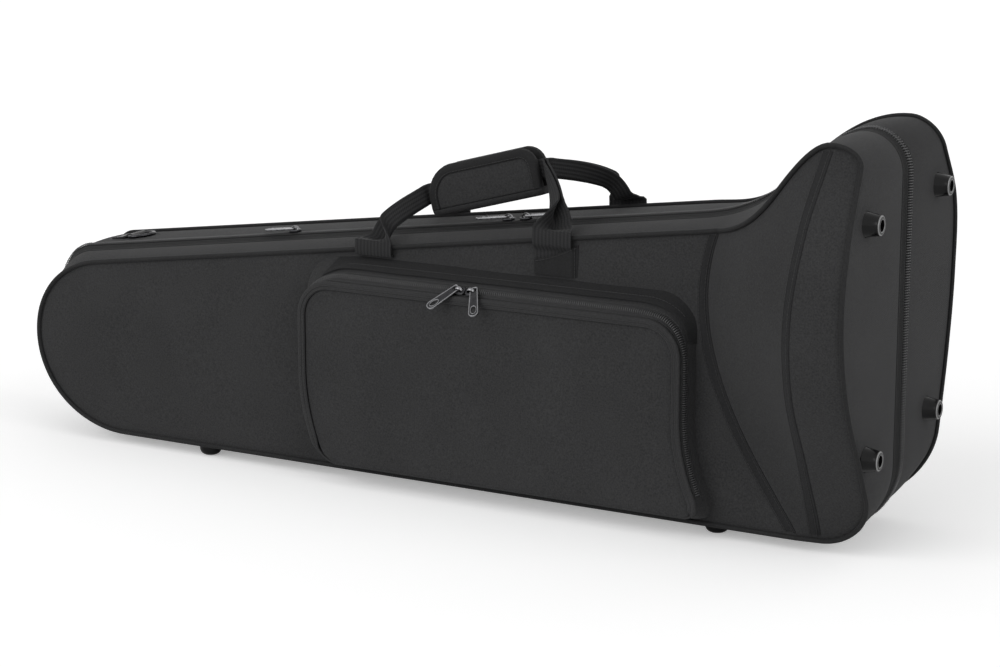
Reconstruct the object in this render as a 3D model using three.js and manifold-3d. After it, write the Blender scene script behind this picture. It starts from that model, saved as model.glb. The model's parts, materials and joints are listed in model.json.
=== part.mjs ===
// A soft-covered case for a slide trombone, standing on its long narrow edge.
// Millimetres, +X to the bell end, -Y to the front half with the pocket, +Z up.
import * as THREE from "three";
import { mergeVertices } from "three/addons/utils/BufferGeometryUtils.js";
import Module from "manifold-3d";

const wasm = await Module();
wasm.setup();

// Body of the case. Distances named "from the bell end" are measured back from the end wall.
const caseLength = 952;
const wall = 7; // moulded foam wall with its cover
const seatGap = 0.3; // between pieces that touch
const partingGap = 2; // between the rims of the two halves
const tipHeight = 108; // height of the foremost point of the narrow end
const zipRebate = { frontWidth: 20, rearWidth: 9, depth: 2 };

// Side outlines: at the front face, at the parting line and at the rear face.
const frontEdge = {
  tip: 19,
  underside: 14,
  tipRoundBelow: 127,
  tipRoundAbove: 96,
  shoulderHeight: 188.6,
  topSlope: 0.1357,
  flareStart: 174,
  flareMid: 79,
  flareMidHeight: 332,
  flareMidSlope: 1.32,
  peak: 27,
  peakHeight: 376.4,
  cornerEndHeight: 360,
  heel: 50,
  heelEndHeight: 63,
  rampTop: 153,
  rampBottom: 71,
  end: 0,
};
const partingEdge = {
  tip: 0,
  underside: 5,
  tipRoundBelow: 125,
  tipRoundAbove: 42,
  shoulderHeight: 193.2,
  topSlope: 0.1333,
  flareStart: 200,
  flareMid: 109,
  flareMidHeight: 328.5,
  flareMidSlope: 0.95,
  peak: 36,
  peakHeight: 377,
  cornerEndHeight: 337,
  heel: 75,
  heelEndHeight: 80,
  rampTop: 160,
  rampBottom: 110,
  end: 0,
};
const rearEdge = {
  tip: 10,
  underside: 14,
  tipRoundBelow: 127,
  tipRoundAbove: 44,
  shoulderHeight: 194.4,
  topSlope: 0.128,
  flareStart: 225,
  flareMid: 148,
  flareMidHeight: 309,
  flareMidSlope: 1.05,
  peak: 28,
  peakHeight: 379.2,
  cornerEndHeight: 352,
  heel: 88,
  heelEndHeight: 87,
  rampTop: 175,
  rampBottom: 112,
  end: 0,
};
const bottomApproach = 205; // where the straight underside starts to turn, from the bell end

// Depth of each half, from the parting plane to its face.
const frontDepths = { tip: 56, narrow: 68, bell: [67, 101, 142, 159, 147, 119] };
const rearDepths = { tip: 73, narrow: 83, bell: [73, 92, 110, 120, 116, 70] };
const seamBow = { ramp: 36, bell: 10, lean: 1.2 };
const lengthSteps = [7, 3, 3, 6, 5];
const heightSteps = 10;

// Trim and hardware
const piping = { radius: 2.2, pocketRadius: 1.3, sides: 6 };
const coil = { width: 3.4, height: 1.5, tape: 1.4, meet: 0.3, seat: 0.5 };
const seamBand = { width: 9, thickness: 0.8, steps: 10, endShare: 0.015 };
const endFoot = {
  baseRadius: 11.5,
  tipRadius: 9,
  height: 15,
  edge: 1.6,
  holeRadius: 3.4,
  holeDepth: 9,
  sides: 20,
  frontTop: { fromEdge: 38, fromPeak: 66 },
  frontBottom: { fromEdge: 15.8, fromFloor: 100.5 },
  rearTop: { fromEdge: 40, fromPeak: 59.7 },
  rearBottom: { fromEdge: 40, fromFloor: 113 },
};
const stud = { radius: 11, capRadius: 4.5, bandShare: 0.45, sides: 20, spread: 48, fromTip: 227, fromBell: 158 };

// Pocket on the front face
const pocket = {
  fromTip: 358,
  fromBell: 172,
  top: 223,
  bottom: 17,
  baseRadius: 34,
  footRadius: 20,
  depth: 25,
  frontInset: 6.5,
  topDrop: 21,
  bottomRise: 5,
  wall: 2.2,
  panel: 2.2,
  cornerSteps: 6,
  rightFootLean: 26,
  leftFootLean: 22,
  leanHeight: 92,
};
const rainFlap = { reach: 11, thickness: 1.8, lift: 2.2 };

// Zip sliders
const slider = { length: 12, width: 9.5, height: 2.6, crownRadius: 4, crownWire: 1.1, crownSides: 6, crownSteps: 8 };
const pull = {
  length: 36,
  headWidth: 7.8,
  tipWidth: 10,
  thickness: 1.6,
  holeLength: 9,
  holeWidth: 5,
  holeInset: 3.5,
  eyeLength: 5,
  eyeWidth: 4.6,
  eyeInset: 1.3,
  ride: 0.45,
};
const pocketSliders = { leftFromTip: 543, rightFromTip: 556, leftTurn: -36, rightTurn: 22, downSlopeShare: 0.8 };
const mainSliders = { outerFromTip: 304, leftFromTip: 549, rightFromTip: 568 };

// Handle
const webbing = { width: 40, thickness: 1.8, gatheredWidth: 25, gatheredThickness: 4.4, leftFromTip: 438, rightFromTip: 633 };
const grip = { fromBell: 426, lift: 41.8, tilt: 15, length: 124, tall: 48, pad: 7, foldHeight: 6.5, cornerRadius: 20 };
const gripInside = 2 * (webbing.gatheredThickness + seatGap * 2);
const strapFoot = { aboveFlap: 1, rearHeight: 180 };

// Shoulder-strap ring near the narrow end
const ringTab = { fromTip: 50, length: 27, depth: 36, width: 24, thickness: 2.4 };
const strapRing = { wire: 1.9, width: 30, reach: 19, sides: 8, steps: 8, lift: 1.2 };

// Fitted interior
const insert = { face: 4, play: 0.8, tipBlockEnd: 470, middleBlockEnd: 690 };
const bellWell = { axisHeight: 232, fromBell: 26, tiltSlope: 0.1333, mouthRadius: 108, frontMouthRadius: 118, throatRadius: 15, length: 610, flare: 5.2, steps: 16, sides: 24 };
const neckWell = { drop: 74, radius: 13, start: 60, length: 420 };
const slideWell = { fromTip: 70, length: 660, tall: 104, depth: 27, radius: 26, lift: 44 };
const accessoryWell = { fromBell: 470, length: 170, bottom: 32, tall: 58, depth: 46, radius: 10 };
const holdStrap = { width: 25, thickness: 1.6, overhang: 22, bellEndShare: 0.55, neckShare: 0.12 };
const cutOverrun = 20;

const partingHalf = partingGap / 2;
const degrees = Math.PI / 180;

// Colours and finishes
const finish = (color, roughness, metalness = 0) => new THREE.MeshStandardMaterial({ color, roughness, metalness });
const coverCloth = finish(0x2b2b2c, 0.9);
const darkCloth = finish(0x1c1c1d, 0.92);
const zipTapeCloth = finish(0x1a1a1b, 0.8);
const webbingCloth = finish(0x262627, 0.85);
const plush = finish(0x33343a, 1);
const glossPlastic = finish(0x0e0e0f, 0.25);
const gunMetal = finish(0x55565a, 0.35, 1);
const leatherette = finish(0x18181a, 0.4);

const root = new THREE.Group();
const lid = new THREE.Group();
root.add(lid);

function addMesh(parent, name, geometry, material) {
  const mesh = new THREE.Mesh(geometry, material);
  mesh.name = name;
  parent.add(mesh);
  return mesh;
}

const lerp = THREE.MathUtils.lerp;

// A smooth curve through evenly spaced values, read at a share from 0 to 1.
function throughValues(values, share) {
  const place = THREE.MathUtils.clamp(share, 0, 1) * (values.length - 1);
  const i = Math.min(Math.floor(place), values.length - 2);
  const at = (k) => values[THREE.MathUtils.clamp(k, 0, values.length - 1)];
  const t = place - i;
  const [a, b, c, d] = [at(i - 1), at(i), at(i + 1), at(i + 2)];
  const curve = (2 * a - 5 * b + 4 * c - d) * t * t + (3 * b - a - 3 * c + d) * t * t * t;
  return b + ((c - a) * t + curve) / 2;
}

function hermite(x, from, to) {
  const run = to.x - from.x;
  const t = (x - from.x) / run;
  const h00 = 2 * t ** 3 - 3 * t ** 2 + 1;
  const h10 = t ** 3 - 2 * t ** 2 + t;
  const h11 = t ** 3 - t ** 2;
  return h00 * from.z + h10 * run * from.slope + (1 - h00) * to.z + h11 * run * to.slope;
}

// The same outline moved inwards by a wall.
function inset(edge, by) {
  const steep = Math.atan(edge.flareMidSlope);
  return {
    ...edge,
    tip: edge.tip + by,
    underside: edge.underside + by,
    shoulderHeight: edge.shoulderHeight - by,
    flareMid: edge.flareMid - by * Math.sin(steep),
    flareMidHeight: edge.flareMidHeight - by * Math.cos(steep),
    peakHeight: edge.peakHeight - by,
    end: edge.end + by,
  };
}

function topHeight(edge, x) {
  const line = (at) => edge.shoulderHeight + edge.topSlope * (at - edge.tipRoundAbove);
  const start = { x: caseLength - edge.flareStart, slope: edge.topSlope };
  start.z = line(start.x);
  const mid = { x: caseLength - edge.flareMid, z: edge.flareMidHeight, slope: edge.flareMidSlope };
  const peak = { x: caseLength - edge.peak, z: edge.peakHeight, slope: 0 };
  if (x <= start.x) return line(x);
  return x <= mid.x ? hermite(x, start, mid) : hermite(x, mid, peak);
}

// Ends of the upright section at a station. Stations: 0 tip, 1 end of the tip's round, 2 start of the flare,
// 3 first seam, 4 second seam, 5 end wall.
function sectionEnds(edge, station) {
  const i = Math.min(Math.floor(station), 4);
  const t = station - i;
  if (i === 0) {
    const angle = t * Math.PI / 2;
    const low = new THREE.Vector2(
      edge.tipRoundBelow - (edge.tipRoundBelow - edge.tip) * Math.cos(angle),
      tipHeight - (tipHeight - edge.underside) * Math.sin(angle),
    );
    const run = edge.tipRoundAbove - edge.tip;
    const rise = edge.shoulderHeight - tipHeight;
    const handleShare = 0.56;
    const round = new THREE.CubicBezierCurve(
      new THREE.Vector2(edge.tip, tipHeight),
      new THREE.Vector2(edge.tip, tipHeight + handleShare * rise),
      new THREE.Vector2(
        edge.tipRoundAbove - handleShare * run,
        edge.shoulderHeight - handleShare * run * edge.topSlope,
      ),
      new THREE.Vector2(edge.tipRoundAbove, edge.shoulderHeight),
    );
    return { low, high: round.getPoint(t) };
  }
  if (i === 4) {
    const angle = t * Math.PI / 2;
    const corner = (from, fromHeight, endHeight) => new THREE.Vector2(
      caseLength - from + (from - edge.end) * Math.sin(angle),
      endHeight + (fromHeight - endHeight) * Math.cos(angle),
    );
    return {
      low: corner(edge.heel, edge.underside, edge.heelEndHeight),
      high: corner(edge.peak, edge.peakHeight, edge.cornerEndHeight),
    };
  }
  const lows = [edge.tipRoundBelow, caseLength - bottomApproach, caseLength - edge.rampBottom, caseLength - edge.heel];
  const highs = [edge.tipRoundAbove, caseLength - edge.flareStart, caseLength - edge.rampTop, caseLength - edge.peak];
  const x = lerp(highs[i - 1], highs[i], t);
  return {
    low: new THREE.Vector2(lerp(lows[i - 1], lows[i], t), edge.underside),
    high: new THREE.Vector2(x, topHeight(edge, x)),
  };
}

// A point of the side view: station along the case, share of the section's height.
function sideView(edge, station, share) {
  const { low, high } = sectionEnds(edge, station);
  const bows = [0, 0, 0, seamBow.ramp, seamBow.bell, 0];
  const i = Math.min(Math.floor(station), 4);
  const bow = lerp(bows[i], bows[i + 1], station - i);
  const leaning = share ** seamBow.lean;
  return new THREE.Vector2(
    lerp(low.x, high.x, share) - bow * 4 * leaning * (1 - leaning),
    lerp(low.y, high.y, share),
  );
}

const narrowDepth = (depths, x) => lerp(depths.tip, depths.narrow, x / (caseLength - frontEdge.rampTop));

function depthAt(depths, station, x, z) {
  const flat = narrowDepth(depths, x);
  const ramp = THREE.MathUtils.clamp(station - 3, 0, 1);
  if (!ramp) return flat;
  const share = (z - frontEdge.underside) / (frontEdge.peakHeight - frontEdge.underside);
  return lerp(flat, throughValues(depths.bell, share), ramp);
}

const stations = lengthSteps.flatMap((steps, i) => Array.from({ length: steps }, (_, k) => i + k / steps));
stations.push(lengthSteps.length);
const lastStation = stations.length - 1;

// Round the outline: along the underside, up the end wall, back along the top.
const roundTheEdge = [];
stations.forEach((station, i) => roundTheEdge.push({ i, j: 0, station, share: 0 }));
for (let j = 1; j < heightSteps; j += 1) {
  roundTheEdge.push({ i: lastStation, j, station: stations[lastStation], share: j / heightSteps });
}
for (let i = lastStation; i > 0; i -= 1) roundTheEdge.push({ i, j: heightSteps, station: stations[i], share: 1 });

class Skin {
  constructor() {
    this.points = [];
    this.faces = [];
  }
  point(p) {
    this.points.push(p.x, p.y, p.z);
    return this.points.length / 3 - 1;
  }
  ring(list) {
    return list.map((p) => this.point(p));
  }
  face(a, b, c) {
    if (a !== b && b !== c && c !== a) this.faces.push(a, b, c);
  }
  band(first, second, closed = true) {
    const count = closed ? first.length : first.length - 1;
    for (let k = 0; k < count; k += 1) {
      const next = (k + 1) % first.length;
      this.face(first[k], first[next], second[next]);
      this.face(first[k], second[next], second[k]);
    }
  }
  fan(ring, turned) {
    for (let k = 1; k < ring.length - 1; k += 1) {
      if (turned) this.face(ring[0], ring[k + 1], ring[k]);
      else this.face(ring[0], ring[k], ring[k + 1]);
    }
  }
  // A grid of stations and heights whose border is already there as a ring.
  grid(place, border, turned) {
    const rows = stations.map(() => []);
    roundTheEdge.forEach(({ i, j }, k) => {
      rows[i][j] = border[k];
    });
    for (let j = 1; j <= heightSteps; j += 1) rows[0][j] = border[0];
    for (let i = 1; i < lastStation; i += 1) {
      for (let j = 1; j < heightSteps; j += 1) rows[i][j] = this.point(place(stations[i], j / heightSteps));
    }
    for (let i = 0; i < lastStation; i += 1) {
      for (let j = 0; j < heightSteps; j += 1) {
        const [a, b, c, d] = [rows[i][j], rows[i + 1][j], rows[i + 1][j + 1], rows[i][j + 1]];
        const pair = turned ? [[a, c, b], [a, d, c]] : [[a, b, c], [a, c, d]];
        pair.forEach((corners) => this.face(...corners));
      }
    }
  }
  geometry() {
    const geometry = new THREE.BufferGeometry();
    geometry.setAttribute("position", new THREE.Float32BufferAttribute(this.points, 3));
    geometry.setIndex(this.faces);
    return outwards(geometry);
  }
}

// Turns a closed mesh's faces outwards.
function outwards(geometry) {
  const p = geometry.attributes.position;
  const index = geometry.index.array;
  const [a, b, c] = [new THREE.Vector3(), new THREE.Vector3(), new THREE.Vector3()];
  let volume = 0;
  for (let k = 0; k < index.length; k += 3) {
    a.fromBufferAttribute(p, index[k]);
    b.fromBufferAttribute(p, index[k + 1]);
    c.fromBufferAttribute(p, index[k + 2]);
    volume += a.dot(b.cross(c));
  }
  if (volume < 0) {
    for (let k = 0; k < index.length; k += 3) [index[k], index[k + 1]] = [index[k + 1], index[k]];
  }
  geometry.computeVertexNormals();
  return geometry;
}

function solid(geometry) {
  const bare = geometry.clone();
  bare.deleteAttribute("normal");
  bare.deleteAttribute("uv");
  const merged = mergeVertices(bare, 1e-3);
  return new wasm.Manifold(new wasm.Mesh({
    numProp: 3,
    vertProperties: merged.attributes.position.array,
    triVerts: new Uint32Array(merged.index.array),
  }));
}

function fromSolid(manifold) {
  const mesh = manifold.getMesh();
  const geometry = new THREE.BufferGeometry();
  geometry.setAttribute("position", new THREE.BufferAttribute(new Float32Array(mesh.vertProperties), 3));
  geometry.setIndex(new THREE.BufferAttribute(new Uint32Array(mesh.triVerts), 1));
  return geometry;
}

const joined = (...pieces) => fromSolid(pieces.map(solid).reduce((all, piece) => all.add(piece)));
const cut = (piece, ...cutters) => fromSolid(cutters.map(solid).reduce((left, cutter) => left.subtract(cutter), solid(piece)));

// Each half: which side of the parting plane it is on, its outline and depth.
const halves = {
  front: { side: -1, edge: frontEdge, depths: frontDepths, rebate: zipRebate.frontWidth },
  rear: { side: 1, edge: rearEdge, depths: rearDepths, rebate: zipRebate.rearWidth },
};

function facePoint(half, station, share, thick = 0) {
  const edge = thick ? inset(half.edge, thick) : half.edge;
  const flat = sideView(edge, station, share);
  const outer = sideView(half.edge, station, share);
  const depth = depthAt(half.depths, station, outer.x, outer.y) - thick;
  return new THREE.Vector3(flat.x, half.side * depth, flat.y);
}

function partingPoint(half, station, share, thick = 0, off = partingHalf) {
  const edge = thick ? inset(partingEdge, thick) : partingEdge;
  const flat = sideView(edge, station, share);
  return new THREE.Vector3(flat.x, half.side * off, flat.y);
}

// Outward direction in the side view, at each point round the parting line.
const edgeNormals = roundTheEdge.map((_, k) => {
  const at = (n) => {
    const place = roundTheEdge[(n + roundTheEdge.length) % roundTheEdge.length];
    return sideView(partingEdge, place.station, place.share);
  };
  const along = at(k + 1).sub(at(k - 1)).normalize();
  return new THREE.Vector3(along.y, 0, -along.x);
});

// A point on a half's side wall, at a distance from the parting plane.
function wallPoint(half, k, away) {
  const { station, share } = roundTheEdge[k];
  const inner = partingPoint(half, station, share);
  const outer = facePoint(half, station, share);
  const t = (away - partingHalf) / (Math.abs(outer.y) - partingHalf);
  return inner.lerp(outer, t);
}

function rebatePoint(half, k, away, height) {
  const { station, share } = roundTheEdge[k];
  const start = partingPoint(half, station, share);
  const end = wallPoint(half, k, half.rebate);
  const t = (away - partingHalf) / (half.rebate - partingHalf);
  return start.lerp(end, t).addScaledVector(edgeNormals[k], height - zipRebate.depth);
}

function shellGeometry(half) {
  const skin = new Skin();
  const around = (make) => skin.ring(roundTheEdge.map(make));
  const outerEdge = around(({ station, share }) => facePoint(half, station, share));
  const rebateTop = around((_, k) => wallPoint(half, k, half.rebate));
  const rebateFoot = around((_, k) => rebatePoint(half, k, half.rebate, 0));
  const rim = around((_, k) => rebatePoint(half, k, partingHalf, 0));
  const innerRim = around(({ station, share }) => partingPoint(half, station, share, wall));
  const innerEdge = around(({ station, share }) => facePoint(half, station, share, wall));
  skin.grid((station, share) => facePoint(half, station, share), outerEdge, true);
  skin.band(outerEdge, rebateTop);
  skin.band(rebateTop, rebateFoot);
  skin.band(rebateFoot, rim);
  skin.band(rim, innerRim);
  skin.band(innerRim, innerEdge);
  skin.grid((station, share) => facePoint(half, station, share, wall), innerEdge, false);
  return skin.geometry();
}

// The padded filling of a half, before its wells are cut.
function fillingGeometry(half) {
  const thick = wall + insert.play;
  const skin = new Skin();
  const around = (make) => skin.ring(roundTheEdge.map(make));
  const back = around(({ station, share }) => facePoint(half, station, share, thick));
  const front = around(({ station, share }) => {
    const deep = facePoint(half, station, share, thick);
    const rim = partingPoint(half, station, share, thick);
    const t = (insert.face - partingHalf) / (Math.abs(deep.y) - partingHalf);
    return rim.lerp(deep, t);
  });
  const facing = (station, share) => partingPoint(half, station, share, thick, insert.face);
  skin.grid(facing, front, true);
  skin.band(front, back);
  skin.grid((station, share) => facePoint(half, station, share, thick), back, false);
  return skin.geometry();
}

// A bell-shaped well, its axis in the parting plane and parallel to the case's top.
const wellTilt = Math.atan(bellWell.tiltSlope);
const wellMouth = new THREE.Vector3(caseLength - bellWell.fromBell, 0, bellWell.axisHeight);

function placeAlongWell(geometry, back, drop) {
  geometry.translate(-back, 0, -drop);
  geometry.rotateY(-wellTilt);
  return geometry.translate(wellMouth.x, wellMouth.y, wellMouth.z);
}

function bellWellGeometry(mouthRadius) {
  const profile = [new THREE.Vector2(0, 0)];
  for (let k = 0; k <= bellWell.steps; k += 1) {
    const share = k / bellWell.steps;
    const radius = lerp(bellWell.throatRadius, mouthRadius, Math.exp(-bellWell.flare * share));
    profile.push(new THREE.Vector2(radius, bellWell.length * share));
  }
  profile.push(new THREE.Vector2(0, bellWell.length));
  const well = new THREE.LatheGeometry(profile.reverse(), bellWell.sides);
  well.rotateZ(Math.PI / 2);
  return placeAlongWell(outwards(mergeVertices(bareOf(well))), 0, 0);
}

function bareOf(geometry) {
  const bare = geometry.clone();
  bare.deleteAttribute("normal");
  bare.deleteAttribute("uv");
  return bare;
}

function neckWellGeometry() {
  const well = new THREE.CylinderGeometry(neckWell.radius, neckWell.radius, neckWell.length, bellWell.sides);
  well.rotateZ(Math.PI / 2);
  const back = bellWell.length - neckWell.start - neckWell.length / 2;
  return placeAlongWell(well, back, neckWell.drop);
}

function crookWellGeometry() {
  const tall = neckWell.drop + neckWell.radius * 2;
  const well = roundedBox(neckWell.radius * 2, neckWell.radius * 2, tall, neckWell.radius * 0.9);
  const back = bellWell.length - neckWell.radius;
  return placeAlongWell(well, back, neckWell.drop / 2);
}

// A block with rounded corners in the side view, centred.
function roundedBox(long, deep, tall, radius) {
  const geometry = new THREE.ExtrudeGeometry(roundedShape(long, tall, radius), {
    depth: deep,
    bevelEnabled: false,
    curveSegments: 5,
  });
  geometry.translate(0, 0, -deep / 2);
  geometry.rotateX(Math.PI / 2);
  return geometry;
}

function roundedShape(long, tall, radius) {
  const shape = new THREE.Shape();
  const [x, y] = [long / 2, tall / 2];
  shape.moveTo(-x + radius, -y);
  shape.lineTo(x - radius, -y);
  shape.absarc(x - radius, -y + radius, radius, -Math.PI / 2, 0);
  shape.lineTo(x, y - radius);
  shape.absarc(x - radius, y - radius, radius, 0, Math.PI / 2);
  shape.lineTo(-x + radius, y);
  shape.absarc(-x + radius, y - radius, radius, Math.PI / 2, Math.PI);
  shape.lineTo(-x, -y + radius);
  shape.absarc(-x + radius, -y + radius, radius, Math.PI, Math.PI * 1.5);
  return shape;
}

function accessoryWellGeometry() {
  const well = roundedBox(accessoryWell.length, accessoryWell.depth + cutOverrun, accessoryWell.tall, accessoryWell.radius);
  return well.translate(
    caseLength - accessoryWell.fromBell + accessoryWell.length / 2,
    insert.face + accessoryWell.depth / 2 - cutOverrun / 2,
    accessoryWell.bottom + accessoryWell.tall / 2,
  );
}

function slideWellGeometry() {
  const well = roundedBox(slideWell.length, slideWell.depth + cutOverrun, slideWell.tall, slideWell.radius);
  well.translate(slideWell.length / 2, -insert.face - slideWell.depth / 2 + cutOverrun / 2, slideWell.tall / 2);
  well.rotateY(-Math.atan(frontEdge.topSlope) / 2);
  return well.translate(slideWell.fromTip, 0, slideWell.lift);
}

// The two halves
for (const [name, half] of Object.entries(halves)) {
  half.group = name === "front" ? lid : root;
  addMesh(half.group, name + "_shell", shellGeometry(half), coverCloth);
}

// The filling is laid in as three foam blocks, so each block is the whole form less what lies beyond its ends.
function beyond(x, way) {
  const rest = new THREE.BoxGeometry(caseLength, caseLength, caseLength);
  return rest.translate(x + way * (caseLength - seatGap) / 2, 0, 0);
}

function addFilling(half, name, ...wells) {
  const filling = cut(fillingGeometry(half), ...wells);
  const { tipBlockEnd, middleBlockEnd } = insert;
  const blocks = {
    tip: [beyond(tipBlockEnd, 1)],
    middle: [beyond(tipBlockEnd, -1), beyond(middleBlockEnd, 1)],
    bell: [beyond(middleBlockEnd, -1)],
  };
  for (const [block, rest] of Object.entries(blocks)) {
    addMesh(half.group, `${name}_insert_${block}`, cut(filling, ...rest), plush);
  }
}
addFilling(halves.rear, "rear", bellWellGeometry(bellWell.mouthRadius), neckWellGeometry(), crookWellGeometry(), accessoryWellGeometry());
addFilling(halves.front, "front", bellWellGeometry(bellWell.frontMouthRadius), slideWellGeometry());

// Cord piping round the outer corner of each half
function pipingGeometry(half) {
  const skin = new Skin();
  const reach = (piping.radius + seatGap) / Math.SQRT2;
  const rings = roundTheEdge.map(({ station, share }, k) => {
    const centre = facePoint(half, station, share);
    const normal = edgeNormals[k];
    const out = new THREE.Vector3(0, half.side, 0);
    centre.addScaledVector(normal, reach).addScaledVector(out, reach);
    return skin.ring(Array.from({ length: piping.sides }, (_, n) => {
      const angle = (n + 0.5) / piping.sides * Math.PI * 2;
      return centre.clone()
        .addScaledVector(normal, Math.cos(angle) * piping.radius)
        .addScaledVector(out, Math.sin(angle) * piping.radius);
    }));
  });
  rings.forEach((ring, k) => skin.band(ring, rings[(k + 1) % rings.length]));
  return skin.geometry();
}

// Places round the edge that the zip and the cloth hinge take
const tipRoundEnd = lengthSteps[0];
const heelStart = lastStation - lengthSteps[4];
const edgeCount = roundTheEdge.length;
const zipPlaces = [];
for (let k = heelStart + 1; k < edgeCount + tipRoundEnd; k += 1) zipPlaces.push(k % edgeCount);
const hingePlaces = [];
for (let k = tipRoundEnd; k <= heelStart; k += 1) hingePlaces.push(k);

// A strip lying in the rebate, with a raised bead along the parting line.
function rebateStrip(half, places, beadHeight, sinkShare = 1) {
  const skin = new Skin();
  const far = half.rebate - seatGap;
  const bead = coil.meet + coil.width;
  const low = coil.seat;
  const flat = low + coil.tape * sinkShare;
  const profile = [[coil.meet, low], [coil.meet, beadHeight], [bead, beadHeight], [bead, flat], [far, flat], [far, low]];
  const rings = places.map((k) => skin.ring(profile.map(([away, height]) => {
    const p = rebatePoint(half, k, Math.max(away, partingHalf), height);
    p.y = half.side * away;
    return p;
  })));
  for (let n = 1; n < rings.length; n += 1) skin.band(rings[n - 1], rings[n]);
  skin.fan(rings[0], true);
  skin.fan(rings[rings.length - 1], false);
  return skin.geometry();
}

for (const [name, half] of Object.entries(halves)) {
  addMesh(half.group, name + "_piping", pipingGeometry(half), darkCloth);
  addMesh(half.group, name + "_zip_tape", rebateStrip(half, zipPlaces, zipRebate.depth + coil.height), zipTapeCloth);
  addMesh(half.group, name + "_hinge_cloth", rebateStrip(half, hingePlaces, coil.seat + coil.tape), darkCloth);
}

// Sewn bands over the two seams of the front half's bell
function seamBandGeometry(station) {
  const skin = new Skin();
  const half = halves.front;
  const stationStep = 0.08;
  const rows = [];
  for (let n = 0; n <= seamBand.steps; n += 1) {
    const share = lerp(seamBand.endShare, 1 - seamBand.endShare, n / seamBand.steps);
    const middle = facePoint(half, station, share);
    const sideways = (sign) => facePoint(half, station + sign * stationStep, share).sub(middle);
    const upDown = facePoint(half, station, share + 0.01).sub(facePoint(half, station, share - 0.01));
    const arm = (sign) => {
      const along = sideways(sign).normalize();
      const normal = upDown.clone().cross(along).normalize();
      if (normal.y > 0) normal.negate();
      return { point: middle.clone().addScaledVector(along, seamBand.width / 2), normal };
    };
    const [left, right] = [arm(-1), arm(1)];
    const mean = left.normal.clone().add(right.normal).normalize();
    const lift = (place, normal, height) => place.clone().addScaledVector(normal, height);
    const low = seatGap * 3;
    const high = low + seamBand.thickness;
    rows.push(skin.ring([
      lift(left.point, left.normal, low),
      lift(middle, mean, low * 1.1),
      lift(right.point, right.normal, low),
      lift(right.point, right.normal, high),
      lift(middle, mean, high * 1.05),
      lift(left.point, left.normal, high),
    ]));
  }
  for (let n = 1; n < rows.length; n += 1) skin.band(rows[n - 1], rows[n]);
  skin.fan(rows[0], true);
  skin.fan(rows[rows.length - 1], false);
  return skin.geometry();
}
addMesh(lid, "ramp_seam_band", seamBandGeometry(3), darkCloth);
addMesh(lid, "bell_seam_band", seamBandGeometry(4), darkCloth);

// Moulded feet on the end wall
function endFootGeometry() {
  const { baseRadius, tipRadius, height, edge, holeRadius, holeDepth } = endFoot;
  const round = Math.SQRT1_2 * edge;
  const profile = [
    [0, 0],
    [baseRadius, 0],
    [tipRadius, height - edge],
    [tipRadius - edge + round, height - edge + round],
    [tipRadius - edge, height],
    [holeRadius, height],
    [holeRadius, height - holeDepth],
    [0, height - holeDepth],
  ].map(([r, h]) => new THREE.Vector2(r, h));
  const geometry = new THREE.LatheGeometry(profile, endFoot.sides);
  geometry.rotateZ(-Math.PI / 2);
  return outwards(mergeVertices(bareOf(geometry)));
}
for (const [name, half] of [
  ["frontTop", halves.front],
  ["frontBottom", halves.front],
  ["rearTop", halves.rear],
  ["rearBottom", halves.rear],
]) {
  const label = "end_foot_" + name.replace(/[A-Z]/, (c) => "_" + c.toLowerCase());
  const foot = addMesh(half.group, label, endFootGeometry(), glossPlastic);
  const height = endFoot[name].fromFloor ?? half.edge.peakHeight - endFoot[name].fromPeak;
  const away = depthAt(half.depths, stations[lastStation], caseLength, height) - endFoot[name].fromEdge;
  foot.position.set(caseLength + seatGap, half.side * away, height);
}

// Domed studs under the case; their tops follow the slope of the underside.
function undersideAt(half, away) {
  const share = (away - partingHalf) / (narrowDepth(half.depths, stud.fromTip) - partingHalf);
  return lerp(partingEdge.underside, half.edge.underside, share);
}

function studGeometry(half, x) {
  const deep = narrowDepth(half.depths, x) - partingHalf;
  const slope = (half.edge.underside - partingEdge.underside) / deep;
  const height = partingEdge.underside + slope * (stud.spread - partingHalf) - seatGap * 2;
  const dome = stud.radius - stud.capRadius;
  const band = height * stud.bandShare;
  const profile = [[0, 0], [stud.capRadius, 0]];
  for (let n = 1; n < 4; n += 1) {
    const angle = n / 4 * Math.PI / 2;
    profile.push([stud.capRadius + dome * Math.sin(angle), (height - band) * (1 - Math.cos(angle))]);
  }
  profile.push([stud.radius, height - band], [stud.radius, height], [0, height]);
  const geometry = new THREE.LatheGeometry(profile.map(([r, h]) => new THREE.Vector2(r, h)), stud.sides);
  geometry.rotateX(Math.PI / 2);
  const merged = outwards(mergeVertices(bareOf(geometry)));
  const p = merged.attributes.position;
  for (let k = 0; k < p.count; k += 1) {
    if (p.getZ(k) > height - seatGap) p.setZ(k, p.getZ(k) + p.getY(k) * half.side * slope);
  }
  return merged;
}
for (const [name, half] of Object.entries(halves)) {
  for (const [place, x] of [["tip", stud.fromTip], ["bell", caseLength - stud.fromBell]]) {
    const label = "stud_" + name + "_" + place;
    const mesh = addMesh(half.group, label, studGeometry(half, x), glossPlastic);
    mesh.position.set(x, half.side * stud.spread, 0);
  }
}

// Pocket: a closed band of cloth standing off the face, a front panel and a flap over its zip.
const frontPlane = (x) => narrowDepth(frontDepths, x);

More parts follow.
